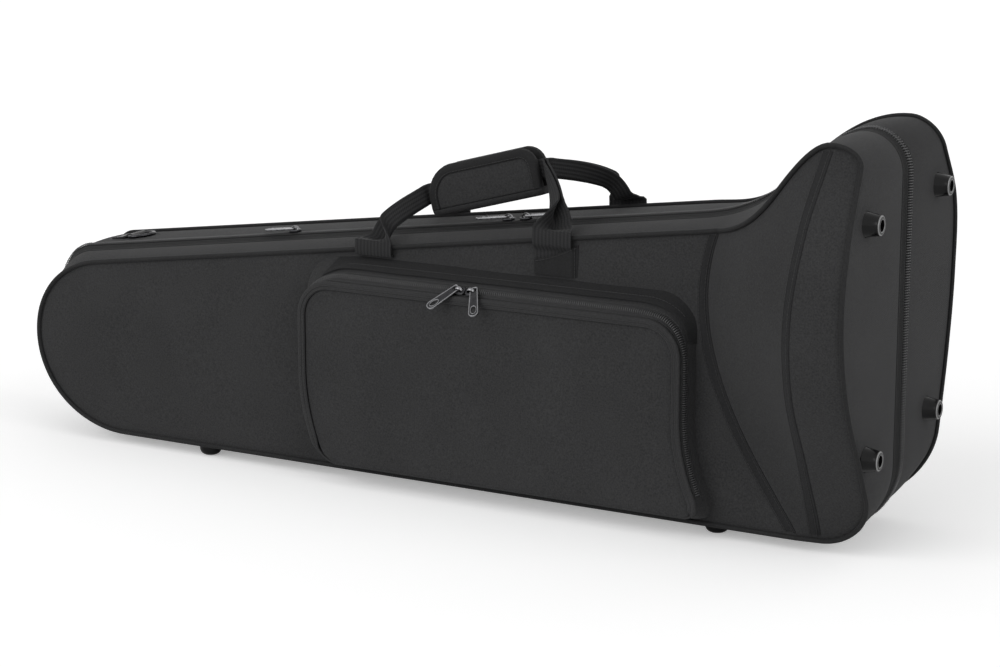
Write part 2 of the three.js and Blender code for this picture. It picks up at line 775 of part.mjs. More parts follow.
// Pocket outline in the side view, anticlockwise from its lower left corner.
function pocketOutline(grow, drop, rise) {
  const left = pocket.fromTip + grow;
  const right = caseLength - pocket.fromBell - grow;
  const top = pocket.top - drop;
  const bottom = pocket.bottom + rise;
  const radius = pocket.baseRadius;
  const foot = pocket.footRadius;
  const points = [];
  const arc = (x, z, r, from) => {
    for (let n = 0; n <= pocket.cornerSteps; n += 1) {
      const angle = from + n / pocket.cornerSteps * Math.PI / 2;
      points.push([x + r * Math.cos(angle), z + r * Math.sin(angle)]);
    }
  };
  arc(left + foot, bottom + foot, foot, Math.PI);
  arc(right - foot, bottom + foot, foot, Math.PI * 1.5);
  arc(right - radius, top - radius, radius, 0);
  arc(left + radius, top - radius, radius, Math.PI / 2);
  const middle = (left + right) / 2;
  return points.map(([x, z]) => {
    const low = THREE.MathUtils.clamp(1 - (z - bottom) / pocket.leanHeight, 0, 1) ** 2;
    return [x + low * (x > middle ? pocket.rightFootLean : pocket.leftFootLean), z];
  });
}

const onFace = (x, z, off) => new THREE.Vector3(x, -(frontPlane(x) + off), z);

function pocketBandGeometry() {
  const skin = new Skin();
  const ring = (grow, drop, rise, off) => skin.ring(pocketOutline(grow, drop, rise).map(([x, z]) => onFace(x, z, off)));
  const t = pocket.wall;
  const deep = pocket.depth;
  const rings = [
    ring(0, 0, 0, seatGap),
    ring(pocket.frontInset, pocket.topDrop, pocket.bottomRise, deep),
    ring(pocket.frontInset + t, pocket.topDrop + t, pocket.bottomRise + t, deep),
    ring(t, t, t, seatGap),
  ];
  rings.forEach((one, k) => skin.band(one, rings[(k + 1) % rings.length]));
  return skin.geometry();
}

function pocketPanelGeometry() {
  const skin = new Skin();
  const ring = (grow, off) => skin.ring(
    pocketOutline(pocket.frontInset + grow, pocket.topDrop + grow, pocket.bottomRise + grow)
      .map(([x, z]) => onFace(x, z, pocket.depth + seatGap + off)),
  );
  const crown = 3;
  const back = ring(0, 0);
  const front = ring(0, pocket.panel);
  const raised = ring(pocket.baseRadius / 2, pocket.panel + crown);
  skin.band(back, front);
  skin.band(front, raised);
  skin.fan(back, true);
  skin.fan(raised, false);
  return skin.geometry();
}

function pocketPipingGeometry() {
  const skin = new Skin();
  const reach = (piping.pocketRadius + seatGap) / Math.SQRT2;
  const edge = pocketOutline(pocket.frontInset, pocket.topDrop, pocket.bottomRise);
  const rings = edge.map(([x, z], k) => {
    const next = edge[(k + 1) % edge.length];
    const last = edge[(k + edge.length - 1) % edge.length];
    const along = new THREE.Vector2(next[0] - last[0], next[1] - last[1]).normalize();
    const normal = new THREE.Vector3(along.y, 0, -along.x);
    const out = new THREE.Vector3(0, -1, 0);
    const centre = onFace(x, z, pocket.depth + seatGap + pocket.panel)
      .addScaledVector(normal, reach).addScaledVector(out, reach);
    return skin.ring(Array.from({ length: piping.sides }, (_, n) => {
      const angle = (n + 0.5) / piping.sides * Math.PI * 2;
      return centre.clone()
        .addScaledVector(normal, Math.cos(angle) * piping.pocketRadius)
        .addScaledVector(out, Math.sin(angle) * piping.pocketRadius);
    }));
  });
  rings.forEach((ring, k) => skin.band(ring, rings[(k + 1) % rings.length]));
  return skin.geometry();
}

// The flap follows the pocket's top from the middle of its left corner to the middle of its right one.
function rainFlapGeometry() {
  const skin = new Skin();
  const outline = (grow, drop) => pocketOutline(grow, drop, -grow);
  const corner = pocket.cornerSteps + 1;
  const first = corner * 2 + Math.floor(corner / 3);
  const last = corner * 4 - Math.floor(corner / 3);
  const row = (share, lift) => outline(pocket.frontInset * share - lift, pocket.topDrop * share - lift)
    .slice(first, last)
    .map(([x, z]) => onFace(x, z, lerp(seatGap, pocket.depth, share)));
  const { lift, thickness } = rainFlap;
  const reach = rainFlap.reach / pocket.depth;
  const edges = [row(0, lift + thickness), row(reach, lift + thickness), row(reach, lift), row(0, seatGap * 2)];
  const rings = edges[0].map((_, k) => skin.ring(edges.map((edge) => edge[k])));
  for (let n = 1; n < rings.length; n += 1) skin.band(rings[n - 1], rings[n]);
  skin.fan(rings[0], true);
  skin.fan(rings[rings.length - 1], false);
  return skin.geometry();
}
const pocketDoor = new THREE.Group();
lid.add(pocketDoor);
addMesh(lid, "pocket_band", pocketBandGeometry(), coverCloth);
addMesh(lid, "pocket_rain_flap", rainFlapGeometry(), darkCloth);
addMesh(pocketDoor, "pocket_panel", pocketPanelGeometry(), coverCloth);
addMesh(pocketDoor, "pocket_piping", pocketPipingGeometry(), darkCloth);

// Zip slider: a plate over the coil with an arched crown that the pull hangs on. Lies along X, back down.
function sliderGeometry() {
  const body = new THREE.ExtrudeGeometry(roundedShape(slider.length, slider.width, slider.width * 0.3), {
    depth: slider.height,
    bevelEnabled: false,
    curveSegments: 3,
  });
  const arch = new THREE.CatmullRomCurve3(Array.from({ length: slider.crownSteps + 1 }, (_, n) => {
    const angle = n / slider.crownSteps * Math.PI;
    const lift = slider.height - slider.crownWire / 2;
    return new THREE.Vector3(-Math.cos(angle) * slider.crownRadius, 0, lift + Math.sin(angle) * slider.crownRadius);
  }));
  const wire = new THREE.Shape();
  wire.absarc(0, 0, slider.crownWire, 0, Math.PI * 2);
  const crown = new THREE.ExtrudeGeometry(wire, {
    extrudePath: arch,
    steps: slider.crownSteps,
    curveSegments: slider.crownSides,
    bevelEnabled: false,
  });
  return joined(body, crown);
}

// Pull: a long rounded plate with an eye at its head and an oval hole at its tip. Lies along +X from the crown.
function pullGeometry() {
  const shape = new THREE.Shape();
  const [back, front] = [-pull.length / 2, pull.length / 2];
  const [head, tip] = [pull.headWidth / 2, pull.tipWidth / 2];
  const headRound = head * 0.4;
  const tipRound = tip * 0.8;
  shape.moveTo(back + headRound, -head);
  shape.lineTo(front - tipRound, -tip);
  shape.absarc(front - tipRound, -tip + tipRound, tipRound, -Math.PI / 2, 0);
  shape.absarc(front - tipRound, tip - tipRound, tipRound, 0, Math.PI / 2);
  shape.lineTo(back + headRound, head);
  shape.absarc(back + headRound, head - headRound, headRound, Math.PI / 2, Math.PI);
  shape.absarc(back + headRound, -head + headRound, headRound, Math.PI, Math.PI * 1.5);
  const oval = (x, long, wide) => {
    const hole = new THREE.Path();
    hole.absellipse(x, 0, long / 2, wide / 2, 0, Math.PI * 2);
    return hole;
  };
  shape.holes.push(oval(-pull.length / 2 + pull.eyeInset + pull.eyeLength / 2, pull.eyeLength, pull.eyeWidth));
  shape.holes.push(oval(pull.length / 2 - pull.holeInset - pull.holeLength / 2, pull.holeLength, pull.holeWidth));
  const plate = new THREE.ExtrudeGeometry(shape, { depth: pull.thickness, bevelEnabled: false, curveSegments: 4 });
  return plate.translate(pull.length / 2 - pull.eyeInset - pull.eyeLength / 2, 0, -pull.thickness / 2);
}

// The pull's eye goes round one leg of the crown, on the side that it lies to.
function addSlider(parent, name, turn) {
  const group = new THREE.Group();
  parent.add(group);
  addMesh(group, name + "_slider", sliderGeometry(), gunMetal);
  const mesh = addMesh(group, name + "_pull", pullGeometry(), gunMetal);
  const rise = pull.ride * slider.crownRadius;
  const leg = Math.sqrt(slider.crownRadius ** 2 - rise ** 2) * (Math.cos(turn) < 0 ? -1 : 1);
  mesh.rotation.z = turn;
  mesh.position.set(leg, 0, slider.height - slider.crownWire / 2 + rise);
  return group;
}

// Main zip: three sliders on the straight run of the top.
const topTilt = Math.atan(partingEdge.topSlope);
for (const [name, x, turn] of [
  ["main_outer", mainSliders.outerFromTip, Math.PI],
  ["main_left", mainSliders.leftFromTip, Math.PI],
  ["main_right", mainSliders.rightFromTip, 0],
]) {
  const group = addSlider(root, name, turn);
  const clear = coil.height + seatGap;
  group.position.set(x, 0, topHeight(partingEdge, x)).add(
    new THREE.Vector3(-Math.sin(topTilt), 0, Math.cos(topTilt)).multiplyScalar(clear),
  );
  group.rotation.y = -topTilt;
}

// Pocket zip: two sliders on the slanted top of the pocket, their pulls lying over its front edge.
const pocketSlant = Math.atan2(pocket.topDrop, pocket.depth);
for (const [name, x, turn] of [
  ["pocket_left", pocketSliders.leftFromTip, pocketSliders.leftTurn],
  ["pocket_right", pocketSliders.rightFromTip, pocketSliders.rightTurn],
]) {
  const share = pocketSliders.downSlopeShare;
  const group = addSlider(pocketDoor, name, turn * degrees - Math.PI / 2);
  group.position.copy(onFace(x, pocket.top - pocket.topDrop * share, pocket.depth * share));
  group.rotation.x = pocketSlant;
  const up = new THREE.Vector3(0, -Math.sin(pocketSlant), Math.cos(pocketSlant));
  group.position.addScaledVector(up, seatGap * 6);
}

// Webbing straps: frames along the strap's middle, each with its heading in the side view.
function ribbonGeometry(frames) {
  const skin = new Skin();
  const rings = frames.map((frame, k) => {
    const before = frames[Math.max(k - 1, 0)].at;
    const after = frames[Math.min(k + 1, frames.length - 1)].at;
    const along = after.clone().sub(before).normalize();
    const across = new THREE.Vector3(-Math.sin(frame.heading), 0, Math.cos(frame.heading));
    const thick = along.clone().cross(across).normalize();
    const corner = (w, t) => frame.at.clone().addScaledVector(across, w * frame.width / 2)
      .addScaledVector(thick, t * frame.thickness / 2);
    return skin.ring([corner(-1, -1), corner(1, -1), corner(1, 1), corner(-1, 1)]);
  });
  for (let n = 1; n < rings.length; n += 1) skin.band(rings[n - 1], rings[n]);
  skin.fan(rings[0], true);
  skin.fan(rings[rings.length - 1], false);
  return skin.geometry();
}

const gripTilt = grip.tilt * degrees;
const gripFromTip = caseLength - grip.fromBell;
const gripMiddle = new THREE.Vector3(gripFromTip, 0, topHeight(partingEdge, gripFromTip) + grip.lift);
const gripPoint = (along, y, up) => new THREE.Vector3(
  gripMiddle.x + along * Math.cos(gripTilt) - up * Math.sin(gripTilt),
  y,
  gripMiddle.z + along * Math.sin(gripTilt) + up * Math.cos(gripTilt),
);

// A strap of one half: up the face, over the piping, gathered into the grip and down again.
function strapGeometry(half, foot) {
  const full = { width: webbing.width, thickness: webbing.thickness };
  const tight = { width: webbing.gatheredWidth, thickness: webbing.gatheredThickness };
  const flat = seatGap * 2 + webbing.thickness / 2;
  const overPiping = piping.radius * 2 + flat;
  const inGrip = half.side * (webbing.gatheredThickness / 2 + seatGap);
  const strapTurn = grip.length / 2 + webbing.gatheredThickness;
  const leg = (x, heading, gripEnd) => {
    const deep = narrowDepth(half.depths, x);
    const top = topHeight(half.edge, x);
    const rise = half.edge.topSlope * webbing.width / 2 + piping.radius;
    const at = (off, z) => new THREE.Vector3(x, half.side * (deep + off), z);
    const from = at(overPiping, top + rise + piping.radius * 2);
    const upright = [
      { at: at(flat, foot), heading, ...full },
      { at: at(flat, Math.max(top - rise - piping.radius * 2, foot + piping.radius)), heading, ...full },
      { at: at(overPiping, top - rise), heading, ...full },
      { at: from, heading, ...full },
    ];
    const to = gripPoint(gripEnd * strapTurn, inGrip, 0);
    const knee = new THREE.Vector3(from.x, lerp(from.y, to.y, 0.3), lerp(from.z, to.z, 0.5));
    const bend = new THREE.QuadraticBezierCurve3(from, knee, to);
    const turn = (share) => lerp(heading, gripTilt, share ** 0.8);
    const swept = [0.2, 0.4, 0.6, 0.8].map((share) => ({
      at: bend.getPoint(share),
      heading: turn(share),
      width: lerp(full.width, tight.width, Math.min(share * 1.5, 1)),
      thickness: lerp(full.thickness, tight.thickness, share),
    }));
    return [...upright, ...swept];
  };
  const left = leg(webbing.leftFromTip, Math.PI / 2, -1);
  const right = leg(webbing.rightFromTip, -Math.PI / 2, 1).reverse();
  const middle = [-1, -0.5, 0, 0.5, 1].map((share) => ({
    at: gripPoint(share * strapTurn, inGrip, 0),
    heading: gripTilt,
    ...tight,
  }));
  return ribbonGeometry([...left, ...middle, ...right]);
}
const flapTop = pocket.top + rainFlap.lift + rainFlap.thickness;
addMesh(lid, "front_strap", strapGeometry(halves.front, flapTop + strapFoot.aboveFlap), webbingCloth);
addMesh(root, "rear_strap", strapGeometry(halves.rear, strapFoot.rearHeight), webbingCloth);

// Padded grip: a back that folds under the straps, and a front flap that closes over them.
function gripPlate() {
  const tall = grip.tall - grip.foldHeight;
  const x = grip.length / 2;
  const r = grip.cornerRadius;
  const shape = new THREE.Shape();
  shape.moveTo(-x, 0);
  shape.lineTo(x, 0);
  shape.lineTo(x, tall - r);
  shape.absarc(x - r, tall - r, r, 0, Math.PI / 2);
  shape.lineTo(-x + r, tall);
  shape.absarc(-x + r, tall - r, r, Math.PI / 2, Math.PI);
  const plate = new THREE.ExtrudeGeometry(shape, { depth: grip.pad, bevelEnabled: false, curveSegments: 5 });
  plate.rotateX(Math.PI / 2);
  return plate.translate(0, 0, -grip.tall / 2 + grip.foldHeight);
}

function gripFold() {
  const half = gripInside / 2 + grip.pad;
  const h = grip.foldHeight;
  const shape = new THREE.Shape();
  shape.moveTo(-half + h, -grip.tall / 2);
  shape.lineTo(half - h, -grip.tall / 2);
  shape.absarc(half - h, -grip.tall / 2 + h, h, -Math.PI / 2, 0);
  shape.lineTo(half, -grip.tall / 2 + h + seatGap);
  shape.lineTo(half - grip.pad, -grip.tall / 2 + h + seatGap);
  shape.lineTo(half - grip.pad, -grip.tall / 2 + h);
  shape.lineTo(-half, -grip.tall / 2 + h);
  shape.absarc(-half + h, -grip.tall / 2 + h, h, Math.PI, Math.PI * 1.5);
  const fold = new THREE.ExtrudeGeometry(shape, { depth: grip.length, bevelEnabled: false, curveSegments: 4 });
  fold.translate(0, 0, -grip.length / 2);
  fold.rotateX(Math.PI / 2);
  return fold.rotateZ(Math.PI / 2);
}

const gripGroup = new THREE.Group();
root.add(gripGroup);
gripGroup.position.copy(gripMiddle);
gripGroup.rotation.y = -gripTilt;
const backPlate = gripPlate();
backPlate.translate(0, gripInside / 2 + grip.pad, 0);
addMesh(gripGroup, "grip_back", joined(backPlate, gripFold()), coverCloth);
const frontPlate = gripPlate();
frontPlate.translate(0, -gripInside / 2, seatGap);
addMesh(gripGroup, "grip_flap", frontPlate, coverCloth);

// Ring for the shoulder strap, on a tab over the rear half near the tip
const tipRoundTop = roundTheEdge.findIndex(({ station, share }) => station === 1 && share === 1);

// A point over the rear wall's straight top, just past the tip's round.
function onRearTop(x, away, height) {
  const [near, far] = [tipRoundTop, tipRoundTop - 1].map((k) => (
    wallPoint(halves.rear, k, away).addScaledVector(edgeNormals[k], height)
  ));
  return near.lerp(far, (x - near.x) / (far.x - near.x));
}

function ringTabGeometry() {
  const skin = new Skin();
  const near = ringTab.depth - ringTab.width / 2;
  const far = ringTab.depth + ringTab.width / 2;
  const low = seatGap * 2;
  const high = low + ringTab.thickness;
  const [first, last] = [ringTab.fromTip, ringTab.fromTip + ringTab.length].map((x) => (
    skin.ring([onRearTop(x, near, low), onRearTop(x, near, high), onRearTop(x, far, high), onRearTop(x, far, low)])
  ));
  skin.band(first, last);
  skin.fan(first, true);
  skin.fan(last, false);
  return skin.geometry();
}
addMesh(root, "ring_tab", ringTabGeometry(), leatherette);

// A D-shaped ring lying flat, its straight side at the tab.
function strapRingGeometry() {
  const skin = new Skin();
  const half = strapRing.width / 2;
  const path = [[0, -half], [0, 0], [0, half]];
  for (let n = 0; n <= strapRing.steps; n += 1) {
    const angle = Math.PI / 2 - n / strapRing.steps * Math.PI;
    path.push([strapRing.wire * 2 + (strapRing.reach - strapRing.wire * 2) * Math.cos(angle), half * Math.sin(angle)]);
  }
  const rings = path.map(([x, y], k) => {
    const next = path[(k + 1) % path.length];
    const last = path[(k + path.length - 1) % path.length];
    const along = new THREE.Vector2(next[0] - last[0], next[1] - last[1]).normalize();
    const normal = new THREE.Vector3(along.y, -along.x, 0);
    const up = new THREE.Vector3(0, 0, 1);
    return skin.ring(Array.from({ length: strapRing.sides }, (_, n) => {
      const angle = n / strapRing.sides * Math.PI * 2;
      return new THREE.Vector3(x, y, 0).addScaledVector(normal, Math.cos(angle) * strapRing.wire)
        .addScaledVector(up, Math.sin(angle) * strapRing.wire);
    }));
  });
  rings.forEach((ring, k) => skin.band(ring, rings[(k + 1) % rings.length]));
  return skin.geometry();
}
const ring = addMesh(root, "strap_ring", strapRingGeometry(), gunMetal);
const ringStart = ringTab.fromTip + ringTab.length + strapRing.wire + seatGap;
ring.position.copy(onRearTop(ringStart, ringTab.depth, strapRing.wire + strapRing.lift));
ring.rotation.y = -topTilt;

// Hook-and-loop straps across the bell's neck
function holdStrapGeometry(share) {
  const back = bellWell.length * share;
  const radius = lerp(bellWell.throatRadius, bellWell.mouthRadius, Math.exp(-bellWell.flare * share));
  const strap = new THREE.BoxGeometry(holdStrap.width, holdStrap.thickness, (radius + holdStrap.overhang) * 2);
  strap.translate(0, insert.face - seatGap - holdStrap.thickness / 2, 0);
  return placeAlongWell(strap, back, 0);
}
addMesh(root, "bell_hold_strap", holdStrapGeometry(holdStrap.bellEndShare), webbingCloth);
addMesh(root, "neck_hold_strap", holdStrapGeometry(1 - holdStrap.neckShare), webbingCloth);

// The part's origin is under the middle of its box, on the floor.
root.updateMatrixWorld(true);
const box = new THREE.Box3().setFromObject(root, true);
const centre = box.getCenter(new THREE.Vector3());
root.position.set(-centre.x, -centre.y, -box.min.z);
root.updateMatrixWorld(true);

export default root;
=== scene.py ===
import json
import math

import bpy
import bmesh
import numpy as np
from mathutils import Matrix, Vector, noise


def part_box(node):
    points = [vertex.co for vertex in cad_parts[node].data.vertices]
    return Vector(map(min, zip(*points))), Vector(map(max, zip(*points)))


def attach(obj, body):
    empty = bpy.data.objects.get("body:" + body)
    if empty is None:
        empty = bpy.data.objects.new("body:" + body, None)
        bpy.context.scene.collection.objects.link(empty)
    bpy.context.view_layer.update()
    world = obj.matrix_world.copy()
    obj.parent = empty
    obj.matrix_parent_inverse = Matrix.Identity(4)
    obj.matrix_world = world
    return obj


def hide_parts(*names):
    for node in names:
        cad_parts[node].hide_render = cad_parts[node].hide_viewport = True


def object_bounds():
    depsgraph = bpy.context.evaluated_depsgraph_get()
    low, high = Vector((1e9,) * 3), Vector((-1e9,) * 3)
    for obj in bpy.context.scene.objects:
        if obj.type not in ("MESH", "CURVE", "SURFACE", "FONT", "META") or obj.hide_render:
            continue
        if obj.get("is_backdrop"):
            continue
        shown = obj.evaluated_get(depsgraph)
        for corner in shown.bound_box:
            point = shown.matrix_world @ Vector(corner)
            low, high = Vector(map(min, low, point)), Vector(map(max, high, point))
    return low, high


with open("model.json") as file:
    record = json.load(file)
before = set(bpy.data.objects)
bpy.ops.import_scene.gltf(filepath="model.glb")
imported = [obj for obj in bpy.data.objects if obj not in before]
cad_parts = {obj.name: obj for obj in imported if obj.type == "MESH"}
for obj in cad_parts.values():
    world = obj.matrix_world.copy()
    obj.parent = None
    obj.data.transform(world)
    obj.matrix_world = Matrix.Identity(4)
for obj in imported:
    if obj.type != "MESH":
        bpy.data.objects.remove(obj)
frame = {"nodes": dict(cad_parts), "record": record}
cadBox = [list(corner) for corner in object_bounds()]
scene = bpy.context.scene
print("frame loaded")

# The case is worked out in millimetres from its narrow tip, as the CAD is, and each mesh is moved into the
# row frame when it is built.
caseLength = 952.0
footReach = 15.3  # how far the end feet stand out past the case
footBox, pullBox = (np.array(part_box(node)) * 1000 for node in ("end_foot_front_top", "main_outer_pull"))
caseOrigin = np.array([footBox[1][0] - caseLength - footReach, (pullBox[0][1] + pullBox[1][1]) / 2, 0.0])


def toRow(points):
    return (np.asarray(points, float) + caseOrigin) / 1000


def addObject(name, data):
    obj = bpy.data.objects.new(name, data)
    scene.collection.objects.link(obj)
    return obj


# Camera, floor and light

view = {
    "lens": 93.23, "sensor": 36.0, "turn": 28.83, "tilt": 12.54, "fromBellEnd": (772.2, -2153.3, 697.0),
    "farClip": 60.0,
}
studio = {
    "floor": (0.93, 0.93, 0.93),
    "paperGlow": 0.32,
    "world": 0.5,
    "key": {"place": (-1.0, -2.2, 1.15), "spread": 50.0, "power": 1.3},
    "fill": {"place": (3.0, -0.7, 1.1), "spread": 60.0, "power": 1.0},
}


def makeCamera():
    data = bpy.data.cameras.new("photoCamera")
    data.lens = view["lens"]
    data.sensor_width = view["sensor"]
    data.clip_end = view["farClip"]
    camera = addObject("photoCamera", data)
    dx, dy, dz = view["fromBellEnd"]
    camera.location = toRow((caseLength + dx, dy, dz))
    camera.rotation_euler = (math.radians(90 - view["tilt"]), 0, math.radians(view["turn"]))
    scene.camera = camera


# Wide soft suns, so that the floor is lit evenly to the horizon.
def makeLamp(name, place, spread, power):
    data = bpy.data.lights.new(name, "SUN")
    data.angle = math.radians(spread)
    data.energy = power
    lamp = addObject(name, data)
    lamp.location = place
    lamp.rotation_euler = (-Vector(place)).to_track_quat("-Z", "Y").to_euler()


# Node expressions: a wrapped socket takes part in Python arithmetic


class Sock:
    def __init__(self, graph, out):
        self.graph, self.out = graph, out

    def op(self, kind, *others, first=None):
        first = self if first is None else first
        return self.graph.node("ShaderNodeMath", {"operation": kind}, [first, *others])

    def __add__(self, other):
        return self.op("ADD", other)

    def __sub__(self, other):
        return self.op("SUBTRACT", other)

    def __mul__(self, other):
        return self.op("MULTIPLY", other)

    def __mod__(self, other):
        return self.op("FLOORED_MODULO", other)

    def __gt__(self, other):
        return self.op("GREATER_THAN", other)

    def __rsub__(self, other):
        return self.op("SUBTRACT", self, first=other)

    __radd__ = __add__


class Graph:
    def __init__(self, tree):
        self.tree = tree

    def node(self, kind, settings=(), values=(), out=0):
        node = self.tree.nodes.new(kind)
        for key, value in dict(settings).items():
            setattr(node, key, value)
        for key, value in (values.items() if isinstance(values, dict) else enumerate(values)):
            self.feed(node.inputs[key], value)
        return Sock(self, node.outputs[out])

    def feed(self, socket, value):
        if isinstance(value, Sock):
            self.tree.links.new(value.out, socket)
        elif socket.type == "RGBA" and isinstance(value, tuple) and len(value) == 3:
            socket.default_value = (*value, 1)
        else:
            socket.default_value = value


class Mat(Graph):
    def __init__(self, name):
        self.material = bpy.data.materials.new(name)
        self.material.use_nodes = True
        super().__init__(self.material.node_tree)
        self.shader = self.tree.nodes["Principled BSDF"]

    def set(self, **sockets):
        for key, value in sockets.items():
            self.feed(self.shader.inputs[key.replace("_", " ")], value)

    def split(self, kind):
        node = self.tree.nodes.new("ShaderNodeSeparateXYZ")
        self.feed(node.inputs[0], self.node("ShaderNodeTexCoord", out=kind))
        return [Sock(self, out) for out in node.outputs]

    def noise(self, scale, detail=2.0, rough=0.5):
        vector = self.node("ShaderNodeTexCoord", out="Object")
        values = {"Vector": vector, "Scale": scale, "Detail": detail, "Roughness": rough}
        return self.node("ShaderNodeTexNoise", {}, values)

    def mixColor(self, factor, a, b):
        return self.node("ShaderNodeMix", {"data_type": "RGBA"}, {0: factor, 6: a, 7: b}, out=2)

    def clamp(self, value):
        return self.node("ShaderNodeClamp", {}, [value, 0.0, 1.0])

    def bump(self, height, distance, strength):
        values = {"Height": height, "Distance": distance, "Strength": strength}
        self.set(Normal=self.node("ShaderNodeBump", {}, values))


# Over-and-under height of a plain weave, u and v in millimetres.
def threads(u, v, pitch):
    a, b = u * (1 / pitch), v * (1 / pitch)
    over = ((a.op("FLOOR") + b.op("FLOOR")) % 2.0) > 0.5
    warp = 1.0 - (a % 1.0 - 0.5) * (a % 1.0 - 0.5) * 4.0
    weft = 1.0 - (b % 1.0 - 0.5) * (b % 1.0 - 0.5) * 4.0
    return over * warp + (1.0 - over) * weft


# Noises are given as scale, detail and roughness, and depths in metres.
materials = {}
wovenCloths = {
    "coverCloth": {
        "low": (0.017, 0.017, 0.0175), "high": (0.043, 0.043, 0.044), "pitch": 0.8, "rough": 0.82,
        "sheen": 0.05,
    },
    "pipingCloth": {
        "low": (0.012, 0.012, 0.0125), "high": (0.026, 0.026, 0.0265), "pitch": 0.7, "rough": 0.7,
        "sheen": 0.03,
    },
    "edgeCloth": {
        "low": (0.010, 0.010, 0.0105), "high": (0.021, 0.021, 0.0215), "pitch": 0.7, "rough": 0.7,
        "sheen": 0.03,
    },
    "seamCloth": {
        "low": (0.012, 0.012, 0.0125), "high": (0.026, 0.026, 0.027), "pitch": 0.6, "rough": 0.8,
        "sheen": 0.04,
    },
    "tapeCloth": {
        "low": (0.005, 0.005, 0.0052), "high": (0.014, 0.014, 0.0145), "pitch": 0.5, "rough": 0.8,
        "sheen": 0.02,
    },
    "zipCloth": {
        "low": (0.022, 0.022, 0.0225), "high": (0.042, 0.042, 0.043), "pitch": 0.5, "rough": 0.75,
        "sheen": 0.04,
    },
}
wovenGrain = {
    "lint": (620.0, 4.0, 0.75), "patches": (11.0, 3.0, 0.55), "weavePaintedShade": 0.3, "lintShade": 2.2,
    "patchShade": 0.5, "base": 0.3, "shine": 0.12, "sheenRough": 0.45, "weaveBump": 0.7, "lintBump": 0.6,
    "depth": 0.00025, "strength": 0.55,
}


def makeWovenCloth(name, look):
    m = Mat(name)
    grain = wovenGrain
    u, v, _ = m.split("UV")
    weave = threads(u, v, look["pitch"])
    lint = m.noise(*grain["lint"])
    patches = m.noise(*grain["patches"])
    # The weave's height also sets the colour, paler on each thread's crown and darker at its edges: painted
    # shade between the threads.
    shade = weave * grain["weavePaintedShade"] + (lint - 0.5) * grain["lintShade"]
    shade = shade + (patches - 0.5) * grain["patchShade"]
    m.set(Base_Color=m.mixColor(m.clamp(shade + grain["base"]), look["low"], look["high"]))
    m.set(Roughness=look["rough"], Specular_IOR_Level=grain["shine"])
    m.set(Sheen_Weight=look["sheen"], Sheen_Roughness=grain["sheenRough"])
    m.bump(weave * grain["weaveBump"] + lint * grain["lintBump"], grain["depth"], grain["strength"])
    return m.material


webbingLook = {
    "low": (0.009, 0.009, 0.0095), "high": (0.030, 0.030, 0.031), "rib": 1.9, "pick": 1.1,
    "fuzz": (700.0, 2.0),
    "ribPaintedShade": 0.45, "pickPaintedShade": 0.2, "fuzzShade": 0.4, "darker": 0.1, "rough": 0.72, "sheen": 0.05,
    "sheenRough": 0.4, "shine": 0.15, "pickBump": 0.35, "depth": 0.0004, "strength": 0.7,
}


def makeWebbing():
    m = Mat("webbingCloth")
    look = webbingLook
    u, v, _ = m.split("UV")
    ribs = (v * (math.pi / look["rib"])).op("SINE") * 0.5 + 0.5
    offset = (v * (1 / look["rib"])).op("FLOOR") * (math.pi / 2)
    picks = (u * (math.pi / look["pick"]) + offset).op("SINE") * 0.5 + 0.5
    fuzz = m.noise(*look["fuzz"])
    # Ribs and picks are paler on their crests and darker in their hollows: painted shade of the webbing's
    # relief.
    shade = ribs * look["ribPaintedShade"] + picks * look["pickPaintedShade"] + fuzz * look["fuzzShade"] - look["darker"]
    m.set(Base_Color=m.mixColor(m.clamp(shade), look["low"], look["high"]), Roughness=look["rough"])
    m.set(Sheen_Weight=look["sheen"], Sheen_Roughness=look["sheenRough"], Specular_IOR_Level=look["shine"])
    m.bump(ribs + picks * look["pickBump"], look["depth"], look["strength"])
    return m.material


plushLook = {
    "low": (0.018, 0.018, 0.021), "high": (0.05, 0.05, 0.057), "pile": (1600.0, 2.0, 0.7),
    "brushed": (38.0, 4.0, 0.6), "pileShade": 0.5, "brushedShade": 0.6, "darker": 0.05, "rough": 0.95,
    "sheen": 0.8,
    "sheenRough": 0.5, "shine": 0.15, "brushedBump": 0.5, "depth": 0.0009, "strength": 0.6,
}


def makePlush():
    m = Mat("plushLining")
    look = plushLook
    pile = m.noise(*look["pile"])
    brushed = m.noise(*look["brushed"])
    shade = m.clamp(pile * look["pileShade"] + brushed * look["brushedShade"] - look["darker"])
    m.set(Base_Color=m.mixColor(shade, look["low"], look["high"]), Roughness=look["rough"])
    m.set(Sheen_Weight=look["sheen"], Sheen_Roughness=look["sheenRough"], Specular_IOR_Level=look["shine"])
    m.bump(pile + brushed * look["brushedBump"], look["depth"], look["strength"])
    return m.material


# Hard and coated finishes: worn patches are paler by wornGain and rougher by wornRough.
mouldedLook = {
    "fine": (2600.0, 2.0), "worn": (160.0, 3.0, 0.6), "wornGain": 1.5, "wornRough": 0.16, "smoother": 0.06,
    "depth": 0.0001,
}


def makeMoulded(name, color, rough, grain, shine=0.5):
    m = Mat(name)
    look = mouldedLook
    fine = m.noise(*look["fine"])
    worn = m.noise(*look["worn"])
    pale = tuple(c * look["wornGain"] for c in color)
    m.set(Base_Color=m.mixColor(worn, color, pale), Specular_IOR_Level=shine)
    m.set(Roughness=m.clamp(rough + worn * look["wornRough"] - look["smoother"]))
    m.bump(fine, look["depth"], grain)
    return m.material


platingLook = {
    "brushed": (900.0, 3.0, 0.6), "rubbed": (240.0, 2.0), "rough": 0.18, "rubbedRough": 0.2, "depth": 0.00008,
    "strength": 0.3,
}


def makePlating(name, low, high):
    m = Mat(name)
    look = platingLook
    brushed = m.noise(*look["brushed"])
    rubbed = m.noise(*look["rubbed"])
    m.set(Base_Color=m.mixColor(rubbed, low, high), Metallic=1.0)
    m.set(Roughness=m.clamp(look["rough"] + rubbed * look["rubbedRough"]))
    m.bump(brushed, look["depth"], look["strength"])
    return m.material


